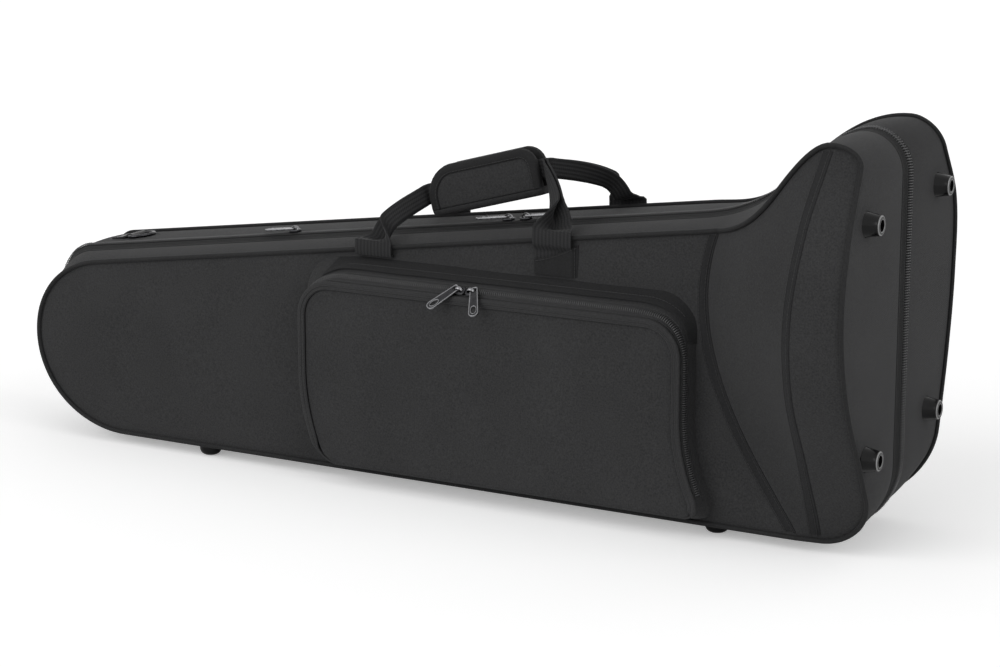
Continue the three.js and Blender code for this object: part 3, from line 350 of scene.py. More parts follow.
threadLook = {
    "low": (0.014, 0.014, 0.0145), "high": (0.034, 0.034, 0.035), "twist": (2400.0, 1.0), "rough": 0.6,
    "shine": 0.4,
    "depth": 0.0001, "strength": 0.5,
}


def makeThread():
    m = Mat("sewingThread")
    look = threadLook
    twist = m.noise(*look["twist"])
    m.set(Base_Color=m.mixColor(twist, look["low"], look["high"]))
    m.set(Roughness=look["rough"], Specular_IOR_Level=look["shine"])
    m.bump(twist, look["depth"], look["strength"])
    return m.material


for clothName, look in wovenCloths.items():
    materials[clothName] = makeWovenCloth(clothName, look)
materials["webbing"] = makeWebbing()
materials["plush"] = makePlush()
materials["gloss"] = makeMoulded("glossMoulding", (0.0028, 0.0028, 0.003), 0.14, 0.05, 0.22)
# Pale finish for the rounded rims of the end feet: a painted highlight where the gloss catches the light.
materials["paintedHighlightRim"] = makeMoulded("paintedHighlightRim", (0.16, 0.16, 0.16), 0.2, 0.1)
materials["tooth"] = makeMoulded("coilNylon", (0.05, 0.05, 0.051), 0.34, 0.2)
materials["leather"] = makeMoulded("coatedLeather", (0.008, 0.008, 0.0085), 0.24, 0.8)
materials["metal"] = makePlating("darkPlating", (0.022, 0.022, 0.024), (0.06, 0.06, 0.063))
materials["brightMetal"] = makePlating("brightPlating", (0.14, 0.14, 0.145), (0.3, 0.3, 0.31))
materials["thread"] = makeThread()
print("materials made")

# The case's form, by the same rules as in the CAD

shape = {
    "tipHeight": 108.0,
    "tipFullness": 0.56,
    "wall": 7.0,
    "gap": 0.3,
    "partingHalf": 1.0,
    "rebateDepth": 2.0,
    "bottomApproach": 205.0,
    "bows": (0, 0, 0, 36.0, 10.0, 0),
    "lean": 1.2,
    "steps": (34, 40, 14, 26, 24),
    "heightSteps": 60,
}
# Each outline seen from the front: heights are above the floor, tip lengths are from the tip and the rest from
# the bell's end.
frontEdge = {
    "tip": 19, "underside": 14, "tipRoundBelow": 127, "tipRoundAbove": 96, "shoulderHeight": 188.6,
    "topSlope": 0.1357, "flareStart": 174, "flareMid": 79, "flareMidHeight": 332, "flareMidSlope": 1.32,
    "peak": 27, "peakHeight": 376.4, "cornerEndHeight": 360, "heel": 50, "heelEndHeight": 63,
    "rampTop": 153, "rampBottom": 71, "end": 0,
}
partingEdge = {
    "tip": 0, "underside": 5, "tipRoundBelow": 125, "tipRoundAbove": 42, "shoulderHeight": 193.2,
    "topSlope": 0.1333, "flareStart": 200, "flareMid": 109, "flareMidHeight": 328.5, "flareMidSlope": 0.95,
    "peak": 36, "peakHeight": 377, "cornerEndHeight": 337, "heel": 75, "heelEndHeight": 80,
    "rampTop": 160, "rampBottom": 110, "end": 0,
}
rearEdge = {
    "tip": 10, "underside": 14, "tipRoundBelow": 127, "tipRoundAbove": 44, "shoulderHeight": 194.4,
    "topSlope": 0.128, "flareStart": 225, "flareMid": 148, "flareMidHeight": 309, "flareMidSlope": 1.05,
    "peak": 28, "peakHeight": 379.2, "cornerEndHeight": 352, "heel": 88, "heelEndHeight": 87,
    "rampTop": 175, "rampBottom": 112, "end": 0,
}
halves = {
    "front": {
        "side": -1, "edge": frontEdge, "tip": 56, "narrow": 68, "bell": (67, 101, 142, 159, 147, 119),
        "rebate": 20.0, "body": "lid",
    },
    "rear": {
        "side": 1, "edge": rearEdge, "tip": 73, "narrow": 83, "bell": (73, 92, 110, 120, 116, 70),
        "rebate": 9.0, "body": "base",
    },
}


def lerp(a, b, t):
    return a + (b - a) * t


def within(value, low=0.0, high=1.0):
    return min(max(value, low), high)


def ease(t):
    return t * t * (3 - 2 * t)


def unit(v):
    length = np.linalg.norm(v)
    return v / length if length > 1e-9 else v


# The length run so far at each point of a line.
def runAlong(points):
    return [0.0, *np.cumsum(np.linalg.norm(np.diff(points, axis=0), axis=1))]


def fullTurn(count):
    return np.linspace(0, 2 * math.pi, count + 1)[:-1]


# A smooth curve through the values, between b and c.
def through(a, b, c, d, t):
    return b + ((c - a) * t + (2 * a - 5 * b + 4 * c - d) * t * t + (3 * b - a - 3 * c + d) * t ** 3) / 2


def throughValues(values, share):
    last = len(values) - 1
    place = within(share) * last
    i = min(int(place), last - 1)
    return through(*(values[within(k, 0, last)] for k in (i - 1, i, i + 1, i + 2)), place - i)


def hermite(x, x0, z0, s0, x1, z1, s1):
    run = x1 - x0
    t = (x - x0) / run
    h00 = 2 * t ** 3 - 3 * t ** 2 + 1
    return h00 * z0 + (t ** 3 - 2 * t ** 2 + t) * run * s0 + (1 - h00) * z1 + (t ** 3 - t ** 2) * run * s1


def inset(edge, by):
    steep = math.atan(edge["flareMidSlope"])
    moved = {
        "tip": edge["tip"] + by, "underside": edge["underside"] + by,
        "shoulderHeight": edge["shoulderHeight"] - by,
        "flareMid": edge["flareMid"] - by * math.sin(steep),
        "flareMidHeight": edge["flareMidHeight"] - by * math.cos(steep),
        "peakHeight": edge["peakHeight"] - by, "end": edge["end"] + by,
    }
    return {**edge, **moved}


def topHeight(edge, x):
    line = lambda at: edge["shoulderHeight"] + edge["topSlope"] * (at - edge["tipRoundAbove"])
    start, mid, peak = (caseLength - edge[key] for key in ("flareStart", "flareMid", "peak"))
    if x <= start:
        return line(x)
    midway = edge["flareMidHeight"], edge["flareMidSlope"]
    if x <= mid:
        return hermite(x, start, line(start), edge["topSlope"], mid, *midway)
    return hermite(x, mid, *midway, peak, edge["peakHeight"], 0)


def bezier(p, t):
    s = 1 - t
    return sum(w * np.array(q, float) for w, q in zip((s ** 3, 3 * s * s * t, 3 * s * t * t, t ** 3), p))


# Foot and head of the section at a station: 0 at the tip, 3 and 4 at the two seams, 5 at the bell's end.
def sectionEnds(edge, station):
    i = min(int(station), 4)
    t = station - i
    tipHeight, full = shape["tipHeight"], shape["tipFullness"]
    if i == 0:
        angle = t * math.pi / 2
        low = (edge["tipRoundBelow"] - (edge["tipRoundBelow"] - edge["tip"]) * math.cos(angle),
               tipHeight - (tipHeight - edge["underside"]) * math.sin(angle))
        run = edge["tipRoundAbove"] - edge["tip"]
        rise = edge["shoulderHeight"] - tipHeight
        high = bezier([
            (edge["tip"], tipHeight), (edge["tip"], tipHeight + full * rise),
            (edge["tipRoundAbove"] - full * run, edge["shoulderHeight"] - full * run * edge["topSlope"]),
            (edge["tipRoundAbove"], edge["shoulderHeight"]),
        ], t)
        return low, high
    if i == 4:
        angle = t * math.pi / 2
        corner = lambda start, height, endHeight: (
            caseLength - start + (start - edge["end"]) * math.sin(angle),
            endHeight + (height - endHeight) * math.cos(angle))
        return (corner(edge["heel"], edge["underside"], edge["heelEndHeight"]),
                corner(edge["peak"], edge["peakHeight"], edge["cornerEndHeight"]))
    fromBell = (shape["bottomApproach"], edge["rampBottom"], edge["heel"])
    lows = (edge["tipRoundBelow"], *(caseLength - far for far in fromBell))
    highs = (edge["tipRoundAbove"], *(caseLength - edge[key] for key in ("flareStart", "rampTop", "peak")))
    x = lerp(highs[i - 1], highs[i], t)
    return (lerp(lows[i - 1], lows[i], t), edge["underside"]), (x, topHeight(edge, x))


def sideView(edge, station, share):
    low, high = sectionEnds(edge, station)
    i = min(int(station), 4)
    bow = lerp(shape["bows"][i], shape["bows"][i + 1], station - i)
    leaning = share ** shape["lean"]
    return lerp(low[0], high[0], share) - bow * 4 * leaning * (1 - leaning), lerp(low[1], high[1], share)


def narrowDepth(half, x):
    return lerp(half["tip"], half["narrow"], x / (caseLength - frontEdge["rampTop"]))


def depthAt(half, station, x, z):
    flat = narrowDepth(half, x)
    ramp = within(station - 3)
    if not ramp:
        return flat
    share = (z - frontEdge["underside"]) / (frontEdge["peakHeight"] - frontEdge["underside"])
    return lerp(flat, throughValues(half["bell"], share), ramp)


def facePoint(half, station, share, thick=0.0):
    outer = sideView(half["edge"], station, share)
    flat = sideView(inset(half["edge"], thick), station, share) if thick else outer
    return np.array([flat[0], half["side"] * (depthAt(half, station, *outer) - thick), flat[1]])


def partingPoint(half, station, share, thick=0.0):
    flat = sideView(inset(partingEdge, thick) if thick else partingEdge, station, share)
    return np.array([flat[0], half["side"] * shape["partingHalf"], flat[1]])


stations = [i + k / steps for i, steps in enumerate(shape["steps"]) for k in range(steps)] + [5.0]
lastStation = len(stations) - 1
heightSteps = shape["heightSteps"]
edgeRing = [(i, 0, s, 0.0) for i, s in enumerate(stations)]
edgeRing += [(lastStation, j, 5.0, j / heightSteps) for j in range(1, heightSteps)]
edgeRing += [(i, heightSteps, stations[i], 1.0) for i in range(lastStation, 0, -1)]
edgeCount = len(edgeRing)
ringFlat = np.array([sideView(partingEdge, s, share) for _, _, s, share in edgeRing])
ringAlong = np.roll(ringFlat, -1, 0) - np.roll(ringFlat, 1, 0)
ringAlong /= np.linalg.norm(ringAlong, axis=1)[:, None]
edgeNormals = np.stack([ringAlong[:, 1], np.zeros(edgeCount), -ringAlong[:, 0]], 1)
ringRun = runAlong(ringFlat)


def wallPoint(half, k, away):
    _, _, station, share = edgeRing[k]
    inner = partingPoint(half, station, share)
    outer = facePoint(half, station, share)
    t = (away - shape["partingHalf"]) / (abs(outer[1]) - shape["partingHalf"])
    return lerp(inner, outer, t)


def rebatePoint(half, k, away, height):
    _, _, station, share = edgeRing[k]
    start = partingPoint(half, station, share)
    end = wallPoint(half, k, half["rebate"])
    t = (away - shape["partingHalf"]) / (half["rebate"] - shape["partingHalf"])
    return lerp(start, end, t) + edgeNormals[k] * (height - shape["rebateDepth"])


# Mesh code

crease = 52.0  # edges sharper than this, in degrees, stay sharp


class Skin:
    def __init__(self):
        self.points, self.faces, self.uvs = [], [], []

    def ring(self, points):
        start = len(self.points)
        self.points.extend(np.asarray(p, float) for p in points)
        return list(range(start, len(self.points)))

    def face(self, corners, uvs):
        kept = [(c, uv) for n, (c, uv) in enumerate(zip(corners, uvs)) if c != corners[n - 1]]
        if len(kept) > 2:
            self.faces.append([c for c, _ in kept])
            self.uvs.append([uv for _, uv in kept])

    # Quads between two rings; u runs along them and v from the first to the second.
    def band(self, first, second, us, v0, v1):
        for k in range(len(first)):
            n = (k + 1) % len(first)
            u0, u1 = us[k], us[n] if n else us[k] + (us[k] - us[k - 1])
            self.face([first[k], first[n], second[n], second[k]], [(u0, v0), (u1, v0), (u1, v1), (u0, v1)])

    def fan(self, ring, turned=False):
        middle = self.ring([np.mean([self.points[k] for k in ring], axis=0)])[0]
        order = ring[::-1] if turned else ring
        for k in range(len(order)):
            self.flatFace([order[k], order[(k + 1) % len(order)], middle])

    # A face whose cloth runs with the case's length and height.
    def flatFace(self, corners):
        self.face(corners, [(self.points[q][0], self.points[q][2]) for q in corners])

    def build(self, name, material):
        mesh = bpy.data.meshes.new(name)
        mesh.from_pydata([tuple(p) for p in toRow(self.points)], [], self.faces)
        layer = mesh.uv_layers.new(name="mm")
        layer.data.foreach_set("uv", np.array([c for face in self.uvs for c in face], float).ravel())
        mesh.materials.append(materials[material])
        shadeSmooth(mesh)
        obj = addObject(name, mesh)
        faceOutwards(mesh)
        mesh.set_sharp_from_angle(angle=math.radians(crease))
        return obj


def shadeSmooth(mesh):
    mesh.polygons.foreach_set("use_smooth", [True] * len(mesh.polygons))


def faceOutwards(mesh):
    bm = bmesh.new()
    bm.from_mesh(mesh)
    if bm.calc_volume(signed=True) < 0:
        bmesh.ops.reverse_faces(bm, faces=bm.faces)
        bm.to_mesh(mesh)
    bm.free()


def settle(piece, body, nodes, slot):
    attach(piece, body)
    if nodes:
        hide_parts(*nodes)
    return piece


# A closed strip: each section is a list of points round it, all of the same count.
def sweep(name, sections, material, around, run=None, closed=False):
    skin = Skin()
    rings = [skin.ring(section) for section in sections]
    if run is None:
        run = runAlong([np.mean(section, axis=0) for section in sections])
    total = len(around)
    for n in range(1, len(rings) + (1 if closed else 0)):
        a, b = rings[n - 1], rings[n % len(rings)]
        u0 = run[n - 1]
        u1 = run[n] if n < len(rings) else run[n - 1] + (run[n - 1] - run[n - 2])
        for k in range(total):
            v0 = around[k]
            v1 = around[k + 1] if k + 1 < total else v0 + (v0 - around[k - 1])
            m = (k + 1) % total
            skin.face([a[k], a[m], b[m], b[k]], [(u0, v0), (u0, v1), (u1, v1), (u1, v0)])
    if not closed:
        skin.fan(rings[0], True)
        skin.fan(rings[-1])
    return skin.build(name, material)


# Round sections; binormal is the direction that all of them share.
def tubeSections(centres, normals, radius, sides, binormal):
    angles = [2 * math.pi * (n + 0.5) / sides for n in range(sides)]
    return [
        [centre + normal * math.cos(a) * radius + binormal * math.sin(a) * radius for a in angles]
        for centre, normal in zip(centres, normals)
    ]


# Length in metres of a strip, along one point of its sections.
def lengthAlong(sections, spot=0):
    return float(runAlong([section[spot] for section in sections])[-1]) / 1000


# Padded shells

# A station is tipRun long by the tip, bellRun by the bell, and beforeSeam or pastSeam long beside a seam.
pad = {
    "puff": 2.2, "edgeFade": 26.0, "tipRun": 110.0, "bellRun": 55.0, "seams": (3.0, 4.0), "seamDip": 1.3,
    "seamWidth": 3.2, "beforeSeam": 45.0, "pastSeam": 80.0, "ripple": 0.5, "rippleSize": 55.0,
    "rippleFade": 15.0,
    "pucker": 0.45, "puckerSize": 16.0, "puckerFade": 3.0, "gussetPuff": 1.6, "gussetBow": 0.7,
    "gussetRipple": 0.35, "gussetRippleSize": 30.0, "gussetRows": 9,
}


def facePadding(half, station, share, p):
    lowEnd, highEnd = sectionEnds(half["edge"], station)
    tall = max(highEnd[1] - lowEnd[1], 1.0)
    near = min(share * tall, (1 - share) * tall, station * pad["tipRun"], (5 - station) * pad["bellRun"])
    rise = pad["puff"] * (1 - math.exp(-near / pad["edgeFade"]))
    stationRun = pad["pastSeam"] if station > pad["seams"][0] else pad["beforeSeam"]
    for seam in pad["seams"]:
        gap = abs(station - seam) * stationRun
        rise -= pad["seamDip"] * math.exp(-(gap / pad["seamWidth"]) ** 2)
    rise += pad["ripple"] * noise.noise(Vector(p) / pad["rippleSize"]) * min(near / pad["rippleFade"], 1)
    pucker = pad["pucker"] * noise.noise(Vector(p) / pad["puckerSize"]) * math.exp(-near / pad["puckerSize"])
    return rise + pucker * min(near / pad["puckerFade"], 1)


def makeShell(name):
    half = halves[name]
    skin = Skin()
    out = np.array([0, half["side"], 0])

    def around(make):
        return skin.ring([make(k, place[2], place[3]) for k, place in enumerate(edgeRing)])

    def grid(border, thick, turned):
        rows = [[None] * (heightSteps + 1) for _ in stations]
        for (i, j, _, _), index in zip(edgeRing, border):
            rows[i][j] = index
        rows[0] = [border[0]] * (heightSteps + 1)
        for i in range(1, lastStation):
            for j in range(1, heightSteps):
                share = j / heightSteps
                p = facePoint(half, stations[i], share, thick)
                if not thick:
                    p = p + out * facePadding(half, stations[i], share, p)
                rows[i][j] = skin.ring([p])[0]
        for i in range(lastStation):
            for j in range(heightSteps):
                quad = [rows[i][j], rows[i + 1][j], rows[i + 1][j + 1], rows[i][j + 1]]
                if turned:
                    quad.reverse()
                skin.flatFace(quad)

    def gusset(k, t):
        _, _, station, share = edgeRing[k]
        outer = facePoint(half, station, share)
        inner = wallPoint(half, k, half["rebate"])
        p = lerp(outer, inner, t)
        bow = math.sin(math.pi * t)
        swell = pad["gussetPuff"] * bow ** pad["gussetBow"] if 0 < t < 1 else 0
        swell += pad["gussetRipple"] * noise.noise(Vector(p) / pad["gussetRippleSize"]) * bow
        return p + edgeNormals[k] * swell

    # From the piping over the side wall, through the rebate and over the rim to the inside, each with its width.
    rows = pad["gussetRows"]
    turns = [(lambda k, s, h, n=n: gusset(k, n / rows), 6) for n in range(1, rows + 1)] + [
        (lambda k, s, h: rebatePoint(half, k, half["rebate"], 0), 10),
        (lambda k, s, h: rebatePoint(half, k, shape["partingHalf"], 0), 10),
        (lambda k, s, h: partingPoint(half, s, h, shape["wall"]), 10),
        (lambda k, s, h: facePoint(half, s, h, shape["wall"]), 10),
    ]
    last, width = around(lambda k, s, h: gusset(k, 0)), 0
    grid(last, 0, True)
    for make, step in turns:
        ring = around(make)
        skin.band(last, ring, ringRun, width, width + step)
        last, width = ring, width + step
    grid(last, shape["wall"], False)
    shell = skin.build(name + "Cover", "coverCloth")
    return settle(shell, half["body"], [name + "_shell"], "cover")


for halfName in halves:
    makeShell(halfName)
print("shells made")


piping = {"front": 2.3, "rear": 2.0, "sunk": 0.25, "sides": 12, "roundStep": 1.2}


def makePiping(name):
    half = halves[name]
    reach = (piping[name] - piping["sunk"]) / math.sqrt(2)
    out = np.array([0.0, half["side"], 0.0])
    centres = [
        facePoint(half, station, share) + edgeNormals[k] * reach + out * reach
        for k, (_, _, station, share) in enumerate(edgeRing)
    ]
    sections = tubeSections(centres, edgeNormals, piping[name], piping["sides"], out)
    around = [n * piping["roundStep"] for n in range(piping["sides"])]
    piece = sweep(name + "Piping", sections, "pipingCloth", around, ringRun, closed=True)
    return settle(piece, half["body"], [name + "_piping"], "dark_cloth")


for halfName in halves:
    makePiping(halfName)
print("piping made")

# Padded fillings: each foam block of the CAD, its corners softened under the plush

filling = {"voxel": 0.0045, "weld": 0.00001, "smooth": 6, "fill": 1.0, "blocks": ("tip", "middle", "bell")}


def meshFrom(obj):
    depsgraph = bpy.context.evaluated_depsgraph_get()
    return bpy.data.meshes.new_from_object(obj.evaluated_get(depsgraph))


def bake(obj):
    mesh = meshFrom(obj)
    obj.modifiers.clear()
    obj.data = mesh
    return obj


def soften(obj):
    weld = obj.modifiers.new("weld", "WELD")
    weld.merge_threshold = filling["weld"]
    cells = obj.modifiers.new("cells", "REMESH")
    cells.mode = "VOXEL"
    cells.voxel_size = filling["voxel"]
    rounded = obj.modifiers.new("rounded", "SMOOTH")
    rounded.iterations = filling["smooth"]
    return bake(obj)


def makeFilling(side, block):
    node = f"{side}_insert_{block}"
    obj = soften(addObject(f"{side}Filling{block.title()}", frame["nodes"][node].data.copy()))
    obj.data.materials.clear()
    obj.data.materials.append(materials["plush"])
    shadeSmooth(obj.data)
    settle(obj, halves[side]["body"], [node], "plush")


for side in halves:
    for block in filling["blocks"]:
        makeFilling(side, block)
print("fillings made")

# Rows of stitches and coil teeth: a Geometry Nodes tree that bends a wire at each step along a path

rowInputs = {
    "Pitch": "Float", "Span": "Float", "Rise": "Float", "Wire": "Float", "Turn": "Float",
    "Material": "Material",
}
rowDetail = {"bendSteps": 6, "wireSides": 5, "smallest": 0.92, "largest": 1.06, "seed": 7}


def makeRowTree():
    tree = bpy.data.node_groups.new("sewnRow", "GeometryNodeTree")
    tree.interface.new_socket("Geometry", in_out="INPUT", socket_type="NodeSocketGeometry")
    for label, kind in rowInputs.items():
        tree.interface.new_socket(label, in_out="INPUT", socket_type="NodeSocket" + kind)
    tree.interface.new_socket("Geometry", in_out="OUTPUT", socket_type="NodeSocketGeometry")
    g = Graph(tree)
    source = tree.nodes.new("NodeGroupInput")
    given = {label: Sock(g, source.outputs[label]) for label in ("Geometry", *rowInputs)}
    path = g.node("GeometryNodeMeshToCurve", {}, [given["Geometry"]])
    every = {"Curve": path, "Length": given["Pitch"]}
    stepped = g.node("GeometryNodeResampleCurve", {"mode": "LENGTH"}, every)
    half = given["Span"] * 0.5
    start = g.node("ShaderNodeCombineXYZ", {}, [half * -1.0])
    middle = g.node("ShaderNodeCombineXYZ", {}, {2: given["Rise"] * 2.0})
    end = g.node("ShaderNodeCombineXYZ", {}, [half])
    bow = {"Resolution": rowDetail["bendSteps"], "Start": start, "Middle": middle, "End": end}
    bend = g.node("GeometryNodeCurveQuadraticBezier", {}, bow)
    ring = {"Resolution": rowDetail["wireSides"], "Radius": given["Wire"]}
    section = g.node("GeometryNodeCurvePrimitiveCircle", {}, ring)
    wire = g.node("GeometryNodeCurveToMesh", {}, {"Curve": bend, "Profile Curve": section, "Fill Caps": True})
    spin = g.node("ShaderNodeCombineXYZ", {}, {2: given["Turn"]})
    turned = g.node("GeometryNodeTransform", {}, {"Geometry": wire, "Rotation": spin})
    up = g.node("GeometryNodeInputNamedAttribute", {"data_type": "FLOAT_VECTOR"}, {"Name": "up"})
    along = g.node("GeometryNodeInputTangent")
    facing = g.node("FunctionNodeAxesToRotation", {"primary_axis": "Z", "secondary_axis": "X"}, [up, along])
    sizes = {"Min": rowDetail["smallest"], "Max": rowDetail["largest"], "Seed": rowDetail["seed"]}
    uneven = g.node("FunctionNodeRandomValue", {"data_type": "FLOAT"}, out=1)
    for label, value in sizes.items():
        sockets = [s for s in uneven.out.node.inputs if s.name == label and s.enabled]
        sockets[0].default_value = value
    rows = {"Points": stepped, "Instance": turned, "Rotation": facing, "Scale": uneven}
    laid = g.node("GeometryNodeInstanceOnPoints", {}, rows)
    real = g.node("GeometryNodeRealizeInstances", {}, [laid])
    done = g.node("GeometryNodeSetMaterial", {}, {"Geometry": real, "Material": given["Material"]})
    sink = tree.nodes.new("NodeGroupOutput")
    tree.links.new(done.out, sink.inputs[0])
    return tree


rowTree = makeRowTree()
rowKinds = {
    "coil": {
        "Pitch": 0.0024, "Span": 0.0038, "Rise": 0.0015, "Wire": 0.00058, "Turn": math.pi / 2,
        "Material": "tooth",
    },
    "smallCoil": {
        "Pitch": 0.0021, "Span": 0.0056, "Rise": 0.0013, "Wire": 0.0005, "Turn": math.pi / 2,
        "Material": "tooth",
    },
    "stitch": {
        "Pitch": 0.0034, "Span": 0.0027, "Rise": 0.0002, "Wire": 0.00028, "Turn": 0.0, "Material": "thread",
    },
}
rowPaths = {}


def addRow(kind, body, points, ups, closed=False):
    rowPaths.setdefault((kind, body), []).append((toRow(points), np.asarray(ups, float), closed))


def layRows(kind, body, paths, slot):
    vertices, edges, ups = [], [], []
    for points, normals, closed in paths:
        first = len(vertices)
        vertices += [tuple(p) for p in points]
        ups += [tuple(u) for u in normals]
        edges += [(first + k, first + k + 1) for k in range(len(points) - 1)]
        if closed:
            edges.append((len(vertices) - 1, first))
    mesh = bpy.data.meshes.new("path")
    mesh.from_pydata(vertices, edges, [])
    mesh.attributes.new("up", "FLOAT_VECTOR", "POINT").data.foreach_set("vector", np.array(ups).ravel())
    obj = addObject(f"{kind}Rows_{body}", mesh)
    rows = obj.modifiers.new("rows", "NODES")
    rows.node_group = rowTree
    for item in rowTree.interface.items_tree:
        if item.in_out == "INPUT" and item.name in rowInputs:
            value = rowKinds[kind][item.name]
            rows[item.identifier] = materials[value] if item.name == "Material" else value
    bake(obj)
    shadeSmooth(obj.data)
    settle(obj, body, [], slot)


# Strips in the rebates: the zip's tapes from the heel over the top to the tip, the cloth hinge underneath

strip = {
    "low": 0.5, "top": 1.9, "meet": 0.3, "gap": 0.3, "chamfer": 0.5, "ridge": 6.5, "ridgeRise": 0.25,
    "ridgeWidth": 0.6, "coilMiddle": 2.15, "coilFoot": 2.1, "stitchPastRidge": 1.4, "stitchFromEdge": 1.6,
    "stitchLift": 0.05, "sheetFrom": 10.0, "afterHeel": 5, "pastTip": 30,
}
heelStart = lastStation - shape["steps"][4]
zipPlaces = [k % edgeCount for k in range(heelStart + strip["afterHeel"], edgeCount + strip["pastTip"])]
hingePlaces = list(range(shape["steps"][0], heelStart + 1))


def stripSection(half, k, profile):
    points = []
    for away, height in profile:
        p = rebatePoint(half, k, max(away, shape["partingHalf"]), height)
        p[1] = half["side"] * away
        points.append(p)
    return points


def addStripRow(kind, half, places, away, height):
    row = [stripSection(half, k, [(away, height)])[0] for k in places]
    addRow(kind, half["body"], row, [edgeNormals[k] for k in places])


def makeStrip(side, name, node, places, material, slot):
    half = halves[side]
    far = half["rebate"] - strip["gap"]
    low, top, meet, chamfer = (strip[key] for key in ("low", "top", "meet", "chamfer"))
    ridge = lambda away: strip["ridgeRise"] * math.exp(-((away - strip["ridge"]) / strip["ridgeWidth"]) ** 2)
    upper = [(away, top + ridge(away)) for away in np.linspace(meet + chamfer * 1.2, far - chamfer, 10)]
    profile = [(meet, low), (meet, top - chamfer * 0.8), *upper, (far, top - chamfer), (far, low)]
    sections = [stripSection(half, k, profile) for k in places]
    if half["side"] < 0:
        sections.reverse()
    piece = sweep(name, sections, material, runAlong(profile))
    settle(piece, half["body"], [node], slot)
    if far - meet > strip["sheetFrom"]:
        flat = ((far - meet) / 1000, lengthAlong(sections))
    for away in (strip["ridge"] + strip["stitchPastRidge"], far - strip["stitchFromEdge"]):
        addStripRow("stitch", half, places, away, top + strip["stitchLift"])


def makeZip(side):
    makeStrip(side, side + "ZipTape", side + "_zip_tape", zipPlaces, "tapeCloth", "zip_tape")
    addStripRow("coil", halves[side], zipPlaces, strip["coilMiddle"], strip["coilFoot"])


for side in halves:
    makeZip(side)
    makeStrip(side, side + "HingeCloth", side + "_hinge_cloth", hingePlaces, "seamCloth", "dark_cloth")
print("zip tapes and hinge cloths made")

# Bands sewn over the two seams where the front half turns out to the bell

# The profile and the stitches are given across the seam, the profile with its height.
seamTape = {
    "width": 12.0, "steps": 90, "endShare": 0.012, "stitches": (-8.7, -1.6), "stitchLift": 0.8,
    "profile": (
        (-10.4, 0.1), (-10.2, 0.55), (-9.3, 0.75), (-7.0, 0.7), (-3.5, 0.7), (-0.8, 0.75), (0.2, 1.15),
        (1.1, 1.15),
        (1.6, 0.6), (1.6, 0.0), (0.0, -0.4), (-4.0, -0.4), (-9.0, -0.4),
    ),
}


def coverPoint(half, station, share):
    p = facePoint(half, station, share)
    return p + np.array([0, half["side"], 0]) * facePadding(half, station, share, p)


def makeSeamTape(name, node, station):
    half = halves["front"]
    sections, rows, ups = [], {off: [] for off in seamTape["stitches"]}, []
    for n in range(seamTape["steps"] + 1):
        share = lerp(seamTape["endShare"], 1 - seamTape["endShare"], n / seamTape["steps"])
        beside = lambda stations, shares=0: coverPoint(half, station + stations, within(share + shares))
        middle = beside(0)
        perStation = {sign: np.linalg.norm(beside(sign * 0.1) - middle) * 10 for sign in (-1, 1)}
        rise = unit(beside(0, 0.01) - beside(0, -0.01))
        along = unit(beside(0.05) - beside(-0.05))
        normal = unit(np.cross(along, rise))
        normal = normal if normal[1] < 0 else -normal

        def place(off, height):
            return beside(off / perStation[1 if off >= 0 else -1]) + normal * height

        sections.append([place(off, height) for off, height in seamTape["profile"]])
        for off in rows:
            rows[off].append(place(off, seamTape["stitchLift"]))
        ups.append(normal)
    piece = sweep(name, sections, "seamCloth", runAlong(seamTape["profile"]))
    settle(piece, "lid", [node], "dark_cloth")
    flat = (seamTape["width"] / 1000, lengthAlong(sections, 4))
    for row in rows.values():
        addRow("stitch", "lid", row, ups)


makeSeamTape("rampSeamTape", "ramp_seam_band", 3.0)
makeSeamTape("bellSeamTape", "bell_seam_band", 4.0)
print("seam tapes made")

# Feet, studs and other turned pieces


# Turns a profile of radius and height; the bands listed in bright get a pale finish, a painted highlight on the
# rounded rims.
def lathe(name, profile, sides, place, body, node, bright=()):
    skin = Skin()
    circle = [(math.cos(a), math.sin(a)) for a in fullTurn(sides)]
    rings = [skin.ring([place(np.array([r * x, r * y, height])) for x, y in circle]) for r, height in profile]
    us = [2 * math.pi * profile[1][0] * k / sides for k in range(sides)]
    run = runAlong(profile)
    for k in range(1, len(rings)):
        skin.band(rings[k - 1], rings[k], us, run[k - 1], run[k])
    skin.fan(rings[0], True)
    skin.fan(rings[-1])
    piece = skin.build(name, "gloss")
    if bright:
        piece.data.materials.append(materials["paintedHighlightRim"])
        for polygon in piece.data.polygons:
            polygon.material_index = int(polygon.index // sides in bright)
    return settle(piece, body, [node], "gloss_plastic")


# Middle of a node's box, in the case's own millimetres.
def middleOf(node):
    low, high = (np.array(corner) * 1000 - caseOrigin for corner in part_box(node))
    return (low + high) / 2


axle = 0.2  # radius of the smallest ring, which a fan closes
# The profile bands listed in bright carry the painted highlight of the rims.
endFoot = {
    "base": 11.5, "tip": 9.0, "height": 15.0, "edge": 1.8, "hole": 5.2, "lip": 0.7, "gap": 0.3, "plinth": 1.2,
    "step": 0.5, "screwSeat": 4.0, "screwHead": 0.6, "holeDepth": 6.0, "sides": 56, "bright": (6, 7, 10, 11),
}
endFeet = {"front_top": "lid", "front_bottom": "lid", "rear_top": "base", "rear_bottom": "base"}


